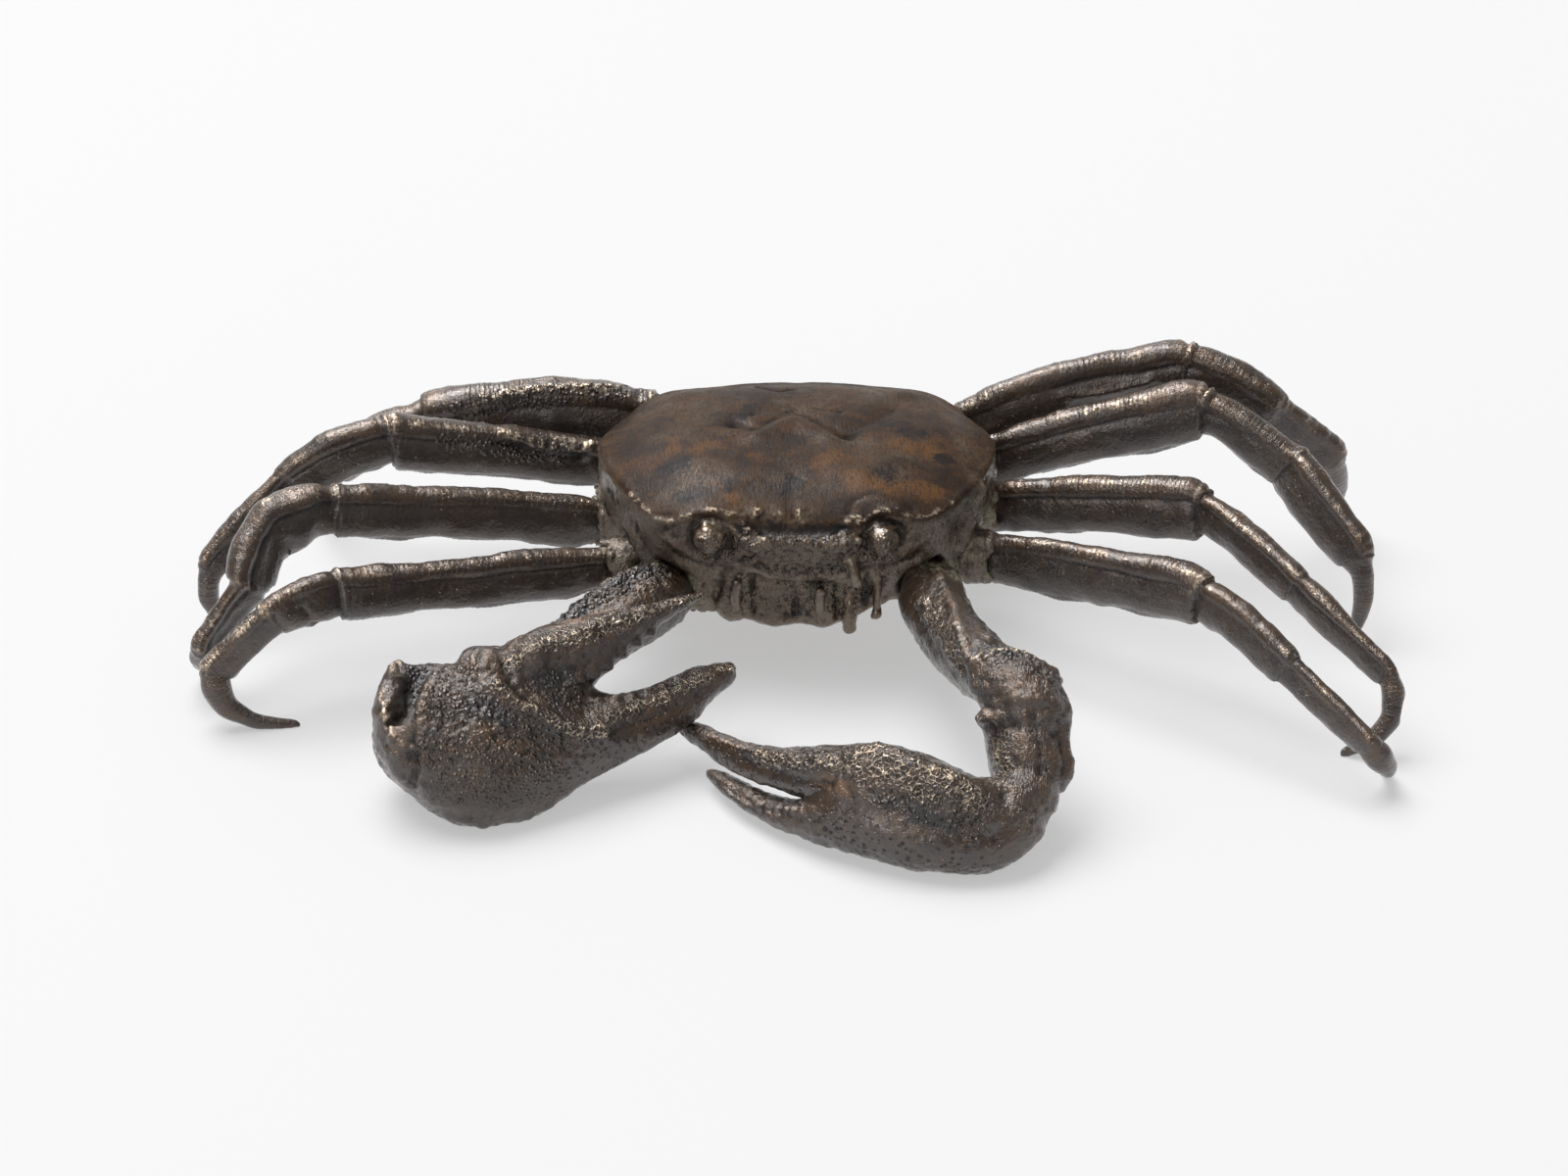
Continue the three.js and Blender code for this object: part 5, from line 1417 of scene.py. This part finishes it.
def noise_value(tree, place, stretch, scale, detail, roughness, distortion):
    """A noise pattern, in coordinates that may be stretched first."""
    if stretch:
        place = stretched(tree, place, stretch)
    node = add_node(tree, "ShaderNodeTexNoise", {"Vector": place})
    set_inputs(node, {"Scale": scale, "Detail": detail, "Roughness": roughness, "Distortion": distortion})
    return node.outputs["Fac"]


def stepped(tree, value, low, high, to_low=0.0, to_high=1.0):
    """A value eased from one range to another."""
    node = add_node(tree, "ShaderNodeMapRange", {"Value": value}, interpolation_type="SMOOTHSTEP")
    set_inputs(node, {"From Min": low, "From Max": high, "To Min": to_low, "To Max": to_high})
    return node.outputs["Result"]


def cell_value(tree, place, scale, feature, low, high):
    """A value that is 1 in the middle of each cell, or along the cells' edges, and falls to 0."""
    node = add_node(tree, "ShaderNodeTexVoronoi", {"Vector": place}, feature=feature)
    set_inputs(node, {"Scale": scale})
    return stepped(tree, node.outputs["Distance"], low, high, 1.0, 0.0)


def stripe_value(tree, run):
    """Fine uneven stripes across a limb, from how far along the limb each place is."""
    node = add_node(tree, "ShaderNodeTexNoise", {"W": run}, noise_dimensions="1D")
    set_inputs(node, {"Scale": STRIPES_PER_MM})
    return stepped(tree, node.outputs["Fac"], 0.4, 0.62)


def calculated(tree, operation, first, second):
    """Two values put together by a math operation. Either may be a plain number."""
    node = add_node(tree, "ShaderNodeMath", operation=operation)
    for socket, value in zip(node.inputs, (first, second)):
        if isinstance(value, (int, float)):
            socket.default_value = value
        else:
            tree.links.new(value, socket)
    return node.outputs["Value"]


# A Mix node has sockets of the same names for every kind of data. These are the ones for colours.
MIX_SHARE, MIX_FIRST, MIX_SECOND = 0, 6, 7
MIX_RESULT = 2


def blended(tree, share, first, second):
    """A colour mixed from two."""
    node = add_node(tree, "ShaderNodeMix", data_type="RGBA")
    for number, socket in ((MIX_SHARE, share), (MIX_FIRST, first), (MIX_SECOND, second)):
        tree.links.new(socket, node.inputs[number])
    return node.outputs[MIX_RESULT]


def add_patina_sockets(tree):
    """Gives the patina group its inputs and outputs."""
    sockets = tree.interface
    for name in PATINA_COLOURS:
        sockets.new_socket(name=name, in_out="INPUT", socket_type="NodeSocketColor")
    for name, default in PATINA_SHARES.items():
        socket = sockets.new_socket(name=name, in_out="INPUT", socket_type="NodeSocketFloat")
        socket.default_value = default
    sockets.new_socket(name="Color", in_out="OUTPUT", socket_type="NodeSocketColor")
    for name in PATINA_RESULTS:
        sockets.new_socket(name=name, in_out="OUTPUT", socket_type="NodeSocketFloat")


def patina_group():
    """Patina over bronze: patches of colour, some blue ones painted shade; soot and painted shade in
    hollows; bare metal and painted highlights on edges; pale solder; and on the limbs a grey on downward
    sides that is partly a painted reflection of the floor.
    """
    if "Bronze Patina" in bpy.data.node_groups:
        return bpy.data.node_groups["Bronze Patina"]
    tree = bpy.data.node_groups.new("Bronze Patina", "ShaderNodeTree")
    add_patina_sockets(tree)
    given = add_node(tree, "NodeGroupInput").outputs
    made = add_node(tree, "NodeGroupOutput").inputs
    place = add_node(tree, "ShaderNodeTexCoord").outputs["Object"]

    def times(first, second):
        return calculated(tree, "MULTIPLY", first, second)

    def plus(first, second):
        return calculated(tree, "ADD", first, second)

    def minus(first, second):
        return calculated(tree, "SUBTRACT", first, second)

    def larger(first, second):
        return calculated(tree, "MAXIMUM", first, second)

    def eased(value, low, high, to_low=0.0, to_high=1.0):
        return stepped(tree, value, low, high, to_low, to_high)

    def added(total, parts):
        """A value with others added to it, each times its share."""
        for value, share in parts:
            total = plus(total, times(value, share))
        return total

    masks = {}
    for name in SHAPE_MARKS + PATINA_MARKS:
        masks[name] = add_node(tree, "ShaderNodeAttribute", attribute_name=name).outputs["Fac"]
    clouds = {name: noise_value(tree, place, *look) for name, look in PATINA_NOISES.items()}
    cells = {name: cell_value(tree, place, *look) for name, look in PATINA_CELLS.items()}
    middle = clouds["middle"]
    speckle = clouds["speckle"]
    ragged = plus(times(minus(middle, 0.5), 1.6), times(minus(speckle, 0.5), 1.3))

    # What the marks lay down.
    shell = masks["shell"]
    comb = times(masks["comb"], cells["net"])
    beads = times(masks["granules"], cells["bead"])
    pits = times(masks["pits"], cells["pit"])
    folds = times(masks["folds"], clouds["streak"])
    stripes = times(masks["stripes"], stripe_value(tree, masks["run"]))
    fibres = times(masks["brushed"], clouds["fibre"])
    hatching = times(shell, eased(clouds["hatch"], 0.46, 0.68))
    sparks = times(times(cells["spark"], minus(1.0, shell)), eased(clouds["other"], 0.5, 0.62))

    # The relief, in which 1 is a full bump.
    height = added(times(speckle, 0.8), ((clouds["grit"], 0.4), (middle, 0.6)))
    height = times(height, minus(1.0, times(larger(shell, masks["calm"]), 0.7)))
    height = added(height, ((comb, 1.3), (beads, 1.0), (pits, -1.2), (folds, 0.9), (stripes, 0.3),
                            (fibres, 0.7), (hatching, -0.1), (sparks, 0.5)))

    # Where each colour shows.
    def patches(mask, high, most):
        """A painted region, ragged at its edge."""
        return times(eased(plus(mask, times(ragged, 1.1)), 0.3, high, 0.0, most), eased(mask, 0.0, 0.3))

    upper = larger(shell, times(masks["facing"], given["Facing Share"]))
    upper = times(upper, eased(clouds["broad"], 0.3, 0.55, 0.45, 1.0))
    tawny = times(eased(plus(clouds["other"], times(ragged, 0.12)), 0.44, 0.6), given["Tawny Share"])
    tawny = times(tawny, plus(0.2, times(upper, 0.8)))
    dark = times(eased(plus(clouds["broad"], times(ragged, 0.08)), 0.48, 0.62), given["Dark Share"])
    # Soot and painted shade: darker in hollows, in pits, inside the comb's cells and between granules.
    soot_and_shade = times(masks["recess"], eased(middle, 0.25, 0.6, 0.45, 0.9))
    soot_and_shade = larger(soot_and_shade, times(pits, 0.75))
    soot_and_shade = larger(soot_and_shade, times(minus(masks["comb"], comb), 0.45))
    soot_and_shade = larger(soot_and_shade, times(minus(masks["granules"], beads), 0.3))
    # Worn metal and painted highlights: on worn edges, along the comb's net, on sparks and granules, and on
    # stripes.
    wear_and_highlight = plus(masks["worn"], plus(times(comb, 0.8), times(sparks, 0.9)))
    wear_and_highlight = plus(wear_and_highlight, times(beads, eased(middle, 0.4, 0.65, 0.0, 0.55)))
    wear_and_highlight = plus(wear_and_highlight, times(times(stripes, masks["worn"]), 0.5))
    wear_and_highlight = times(times(wear_and_highlight, eased(speckle, 0.36, 0.6, 0.2, 1.1)), given["Wear"])
    wear_and_highlight = eased(wear_and_highlight, 0.15, 1.0)
    pale = times(masks["solder"], eased(plus(middle, times(minus(clouds["fibre"], 0.5), 0.6)), 0.45, 0.62))

    # The colours, from the ground patina up.
    # Crest colour on upward faces and the carapace, Side colour elsewhere; on the limbs the grey Side is
    # partly a painted reflection of the floor.
    colour = blended(tree, upper, given["Side"], given["Crest"])
    for share, layer in (
        (tawny, "Tawny"),
        (patches(masks["rust"], 0.9, 0.85), "Rust"),
        (patches(masks["blue"], 0.85, 0.92), "Blue"),
        (dark, "Dark"),
        (eased(speckle, 0.53, 0.68, 0.0, 0.6), "Dark"),
        (times(fibres, 0.5), "Dark"),
        (times(hatching, 0.6), "Dark"),
        (soot_and_shade, "Soot"),
        (wear_and_highlight, "Worn Metal"),
        (times(pale, 0.85), "Solder"),
    ):
        colour = blended(tree, share, colour, given[layer])

    rough = eased(middle, 0.3, 0.7, 0.28, 0.42)
    results = {
        "Color": colour,
        "Metal": added(0.5, ((wear_and_highlight, 0.4), (pale, -0.45), (shell, -0.45))),
        "Roughness": added(rough, ((shell, 0.2), (soot_and_shade, 0.2), (pale, 0.2), (wear_and_highlight, -0.08))),
        "Lacquer": added(1.0, ((shell, -0.93), (pale, -0.6), (soot_and_shade, -0.5))),
        "Height": height,
    }
    for name, value in results.items():
        tree.links.new(value, made[name])
    return tree


def bronze_material(name):
    """The carapace's or the limbs' bronze, made once: patina and relief under a clear lacquer."""
    if name in bpy.data.materials:
        return bpy.data.materials[name]
    own_colours, shares, bump, specular = BRONZES[name]
    settings = bpy.context.scene.crab_bronze
    material = bpy.data.materials.new(name)
    material.use_nodes = True
    tree = material.node_tree
    tree.nodes.clear()
    patina = add_node(tree, "ShaderNodeGroup", node_tree=patina_group())
    set_inputs(patina, shares)
    for socket, setting in (SHARED_COLOURS | own_colours).items():
        patina.inputs[socket].default_value = (*getattr(settings, setting), 1)
    relief = add_node(tree, "ShaderNodeBump", {"Height": patina.outputs["Height"]})
    set_inputs(relief, {"Strength": bump, "Distance": BUMP_DISTANCE})
    shader = add_node(tree, "ShaderNodeBsdfPrincipled", {
        "Base Color": patina.outputs["Color"],
        "Metallic": patina.outputs["Metal"],
        "Roughness": patina.outputs["Roughness"],
        "Coat Weight": patina.outputs["Lacquer"],
        "Normal": relief.outputs["Normal"],
        "Coat Normal": relief.outputs["Normal"],
    })
    set_inputs(shader, {
        "Coat Roughness": settings.lacquer_roughness,
        "Coat IOR": LACQUER_IOR,
        "Specular IOR Level": specular,
    })
    add_node(tree, "ShaderNodeOutputMaterial", {"Surface": shader.outputs["BSDF"]})
    return material


# ---------------------------------------------------------------- operators


class CRAB_OT_body(bpy.types.Operator):
    """Dress the body: carapace, face, flanks and underside"""

    bl_idname = "crab.body"
    bl_label = "Body"

    def execute(self, context):
        relief = context.scene.crab_relief
        piece = copy_of_casting("body", "crab_body")
        apply_modifier(piece, "SUBSURF", levels=2, render_levels=2)
        extras = [add_bead(eye, (EYE_RADIUS,) * 3) for eye in EYES]
        extras += [add_rod(*rod) for rod in FACE_RODS + FACE_PALPS]
        extras += [add_bead(place, (radius,) * 3) for place, radius in FACE_BEADS]
        for number, (limb, collar) in enumerate(COLLARS.items()):
            extras += self.add_collar(limb, collar, COLLAR_SEED + number)
        fuse(piece, extras, relief.body_voxel, rounds=4)
        skin = start_skin(piece, "body", SHELL_SWELL)
        shell = ramp(skin.normals[:, 2], 0.15, 0.6) * ramp(skin.points[:, 2], 24.5, 26.5)
        carve_forms(skin, BODY_FORMS, BODY_FORM_SEED, rounds=2)
        carve(skin, BODY_STROKES, BODY_STROKE_SEED)
        skin.marks["shell"] = shell
        skin.marks["brushed"] = (1 - shell) * ramp(np.abs(skin.points[:, 0]), 10, 19)
        skin.mark_all("calm", shell)
        self.carve_eyes(skin)
        self.polish_rods(skin)
        self.mark_collars(skin)
        grain(skin, relief.grain_height / MM, BODY_GRAIN_SEED)
        paint_marks(skin)
        finish_piece(piece, "body", bronze_material("Carapace Bronze"))
        return {"FINISHED"}

    @staticmethod
    def mark_collars(skin):
        """Marks pale patches of solder round each collar."""
        for number, (centre, _, high, amount) in enumerate(COLLARS.values()):
            apart = np.linalg.norm(skin.points - np.array(centre), axis=1)
            near = ramp(apart, high + 3.4, high - 0.4)
            patchy = ramp(noise(skin.points, 2.6, BODY_FORM_SEED + number), -0.2, 0.5)
            skin.mark_all("solder", 0.8 * amount * near * patchy)

    @staticmethod
    def add_collar(limb, collar, seed):
        """A rough ring of solder beads round a limb where it leaves the body."""
        centre, across, high, amount = collar
        centre = np.array(centre)
        out = centre - np.array(ROOTS[limb])
        out /= np.linalg.norm(out)
        side = np.cross(out, UP)
        side /= np.linalg.norm(side)
        up = np.cross(side, out)
        beads = []
        for bead in range(COLLAR_BEADS):
            angle = 2 * math.pi * bead / COLLAR_BEADS
            chance = lattice_values(np.array([[bead, k, seed] for k in range(3)]), seed)
            place = centre + side * across * math.cos(angle) + up * high * math.sin(angle)
            place = place - out * (0.7 + 1.6 * chance[0])
            size = 0.5 + 0.25 * amount * chance[1]
            tall = size * (0.8 + 0.5 * chance[2])
            beads.append(add_bead(place, (size, size, tall)))
        return beads

    @staticmethod
    def polish_rods(skin):
        """Marks the rods of the face as smooth, with a painted highlight down the front that faces the
        camera.
        """
        for places, start_radius, _ in FACE_RODS:
            gap = near_path(skin.points, rounded_path(places))[0]
            on_rod = ramp(gap, 1.6 * start_radius, 1.1 * start_radius)
            skin.mark_all("calm", on_rod)
            skin.marks["granules"] *= 1 - on_rod
            # A painted highlight down the front of each rod.
            front = ramp(-skin.normals[:, 1], 0.75, 0.98)
            skin.mark_all("polish_and_highlight", 1.4 * on_rod * front)

    @staticmethod
    def carve_eyes(skin):
        """Grains and a glint on each eye, and a hollow round it."""
        height = np.zeros(skin.count)
        for eye in EYES:
            apart = skin.points - np.array(eye)
            gap = np.linalg.norm(apart, axis=1)
            side = np.linalg.norm(apart[:, [0, 2]], axis=1)
            front = (gap < EYE_RIM) & (apart[:, 1] < 0.6)
            skin.marks["shell"] = np.where(front, 0, skin.marks["shell"])
            height += front * 0.2 * noise(skin.points, 0.7, 31)
            chosen = np.flatnonzero(front)
            skin.mark("granules", chosen, 0.9 * ramp(side[chosen], 2.0, 1.2))
            # A painted highlight on the upper part of each eye, where light catches it.
            lit = np.linalg.norm(apart[chosen][:, [0, 2]] - EYE_GLINT, axis=1)
            skin.mark("polish_and_highlight", chosen, 0.7 * ramp(lit, 1.2, 0.4))
            moat = bell(side - EYE_RIM, 0.5) * (gap < EYE_RADIUS * 2.2)
            height -= 0.22 * moat * (apart[:, 1] > -1.2)
        skin.push(height)


def finish_limb(skin, node, height, seed):
    """Grains a limb, keeps it above the ground and gives it its bronze."""
    grain(skin, height, seed)
    keep_on_the_ground(skin)
    paint_marks(skin)
    finish_piece(skin.piece, node, bronze_material("Limb Bronze"))


class CRAB_OT_claws(bpy.types.Operator):
    """Dress both claws"""

    bl_idname = "crab.claws"
    bl_label = "Claws"

    def execute(self, context):
        relief = context.scene.crab_relief
        for node, seed in CLAW_SEEDS.items():
            piece = copy_of_casting(node, "crab_" + node)
            apply_modifier(piece, "SUBSURF", levels=2, render_levels=2)
            cut_away(piece, [add_rod(*rod) for rod in CLAW_CUTS[node]])
            extras = [add_rod(*rod) for rod in CLAW_RODS[node]]
            extras += [add_bead(*bead) for bead in CLAW_BEADS[node]]
            fuse(piece, extras, relief.claw_voxel, rounds=5)
            skin = start_skin(piece, node, CLAW_SWELL)
            carve_forms(skin, CLAW_FORMS[node], seed + 60, rounds=5)
            carve(skin, CLAW_STROKES[node], seed)
            finish_limb(skin, node, 1.25 * relief.grain_height / MM, seed + 50)
        return {"FINISHED"}


class CRAB_OT_legs(bpy.types.Operator):
    """Dress the eight walking legs"""

    bl_idname = "crab.legs"
    bl_label = "Walking Legs"

    def execute(self, context):
        relief = context.scene.crab_relief
        for node, seed in LEG_SEEDS.items():
            piece = copy_of_casting(node, "crab_" + node)
            fuse(piece, [], relief.leg_voxel, rounds=9)
            skin = start_skin(piece, node, LEG_SWELL)
            carve_forms(skin, LEG_FORMS.get(node, []), seed + 12, rounds=2)
            carve_leg(skin, node, seed)
            carve(skin, LEG_STROKES.get(node, []), seed + 10)
            finish_limb(skin, node, 0.5 * relief.grain_height / MM, seed + 20)
        return {"FINISHED"}


class CRAB_OT_stage(bpy.types.Operator):
    """Set the seamless ground, the white tent, the lights and the camera"""

    bl_idname = "crab.stage"
    bl_label = "Stage"

    # The middle of the frame, and where the lights point, in millimetres.
    TARGET = (-1.9, 0.0, 3.7)
    LIT_PLACE = (0, 0, 10)

    # The rest is in metres, but for the sensor's width, which is in millimetres.
    FLOOR_SIZE = 8.0
    CLIP_START = 0.01
    SENSOR_WIDTH = 36

    # The overhead softbox: place and size. It lights the surfaces and isn't seen in the gloss.
    OVERHEAD_PLACE = (-0.85, 0.75, 2.9)
    OVERHEAD_SIZE = (2.6, 2.2)

    # Panels that only the gloss shows: name, place, size, and the setting for the power.
    GLOSS_PANELS = (
        ("gloss_softbox", (-0.7, 0.8, 1.7), (1.0, 0.8), "gloss_power"),
        ("top_strip", (-0.1, 0.0, 1.8), (1.0, 0.5), "strip_power"),
        ("front_glint", (-0.35, -0.3, 0.72), (0.12, 0.08), "glint_power"),
        ("back_glint", (-0.2, 0.5, 0.62), (0.12, 0.08), "glint_power"),
        ("back_wall", (0.0, 1.6, 0.3), (1.8, 0.5), "wall_power"),
        ("front_card", (-0.75, -1.1, 0.45), (0.5, 0.35), "card_power"),
    )

    def execute(self, context):
        stage = context.scene.crab_stage
        self.add_floor(stage)
        self.add_tent(stage)
        self.add_lights(stage)
        self.add_camera(stage)
        context.scene.view_settings.view_transform = "Standard"
        return {"FINISHED"}

    def add_floor(self, stage):
        """A wide matt floor with a faint light of its own."""
        bpy.ops.object.select_all(action="DESELECT")
        bpy.ops.mesh.primitive_plane_add(size=self.FLOOR_SIZE)
        floor = bpy.context.object
        floor.name = "seamless_ground"
        material = bpy.data.materials.new("White Ground")
        material.use_nodes = True
        shader = material.node_tree.nodes["Principled BSDF"]
        set_inputs(shader, {
            "Base Color": (*stage.floor_colour, 1),
            "Roughness": 0.8,
            "Specular IOR Level": 0.2,
            "Emission Color": (1, 1, 1, 1),
            "Emission Strength": stage.floor_glow,
        })
        floor.data.materials.append(material)

    def add_tent(self, stage):
        """White light from all round."""
        world = bpy.data.worlds.new("White Tent")
        world.use_nodes = True
        background = world.node_tree.nodes["Background"]
        set_inputs(background, {"Color": (1, 1, 1, 1), "Strength": stage.tent_strength})
        bpy.context.scene.world = world

    def add_lights(self, stage):
        """The overhead softbox for the surfaces, and the panels for the gloss."""
        softbox = self.add_panel(
            "overhead_softbox", self.OVERHEAD_PLACE, self.OVERHEAD_SIZE, stage.key_power,
        )
        softbox.visible_glossy = False
        for name, place, size, setting in self.GLOSS_PANELS:
            panel = self.add_panel(name, place, size, getattr(stage, setting))
            panel.visible_diffuse = False

    def add_panel(self, name, place, size, power):
        """A rectangular area light that faces the crab."""
        bpy.ops.object.select_all(action="DESELECT")
        bpy.ops.object.light_add(type="AREA", location=place)
        panel = bpy.context.object
        panel.name = name
        aim = metres(self.LIT_PLACE) - panel.location
        panel.rotation_euler = aim.to_track_quat("-Z", "Y").to_euler()
        panel.data.shape = "RECTANGLE"
        panel.data.size, panel.data.size_y = size
        panel.data.energy = power
        return panel

    def add_camera(self, stage):
        target = metres(self.TARGET)
        back = Vector((0, -math.cos(stage.camera_elevation), math.sin(stage.camera_elevation)))
        bpy.ops.object.select_all(action="DESELECT")
        bpy.ops.object.camera_add(location=target + back * stage.camera_distance)
        camera = bpy.context.object
        camera.rotation_euler = (-back).to_track_quat("-Z", "Y").to_euler()
        camera.data.lens = stage.lens
        camera.data.sensor_width = self.SENSOR_WIDTH
        camera.data.clip_start = self.CLIP_START
        bpy.context.scene.camera = camera


class CRAB_PT_panel(bpy.types.Panel):
    """Lists the steps that dress the crab, and their settings"""

    bl_idname = "CRAB_PT_panel"
    bl_label = "Bronze Crab"
    bl_space_type = "VIEW_3D"
    bl_region_type = "UI"
    bl_category = "Bronze Crab"

    def draw(self, context):
        for step in STEPS:
            self.layout.operator(step.bl_idname)
        for name in ("crab_bronze", "crab_relief", "crab_stage"):
            settings = getattr(context.scene, name)
            box = self.layout.box()
            for setting in settings.__annotations__:
                box.prop(settings, setting)


STEPS = (CRAB_OT_body, CRAB_OT_claws, CRAB_OT_legs, CRAB_OT_stage)
CLASSES = (CrabBronzeSettings, CrabReliefSettings, CrabStageSettings, *STEPS, CRAB_PT_panel)


def register():
    for kind in CLASSES:
        bpy.utils.register_class(kind)
    bpy.types.Scene.crab_bronze = bpy.props.PointerProperty(type=CrabBronzeSettings)
    bpy.types.Scene.crab_relief = bpy.props.PointerProperty(type=CrabReliefSettings)
    bpy.types.Scene.crab_stage = bpy.props.PointerProperty(type=CrabStageSettings)


def unregister():
    del bpy.types.Scene.crab_bronze
    del bpy.types.Scene.crab_relief
    del bpy.types.Scene.crab_stage
    for kind in reversed(CLASSES):
        bpy.utils.unregister_class(kind)


def main():
    register()
    bpy.ops.crab.stage()
    bpy.ops.crab.body()
    bpy.ops.crab.claws()
    bpy.ops.crab.legs()


if __name__ == "__main__":
    main()
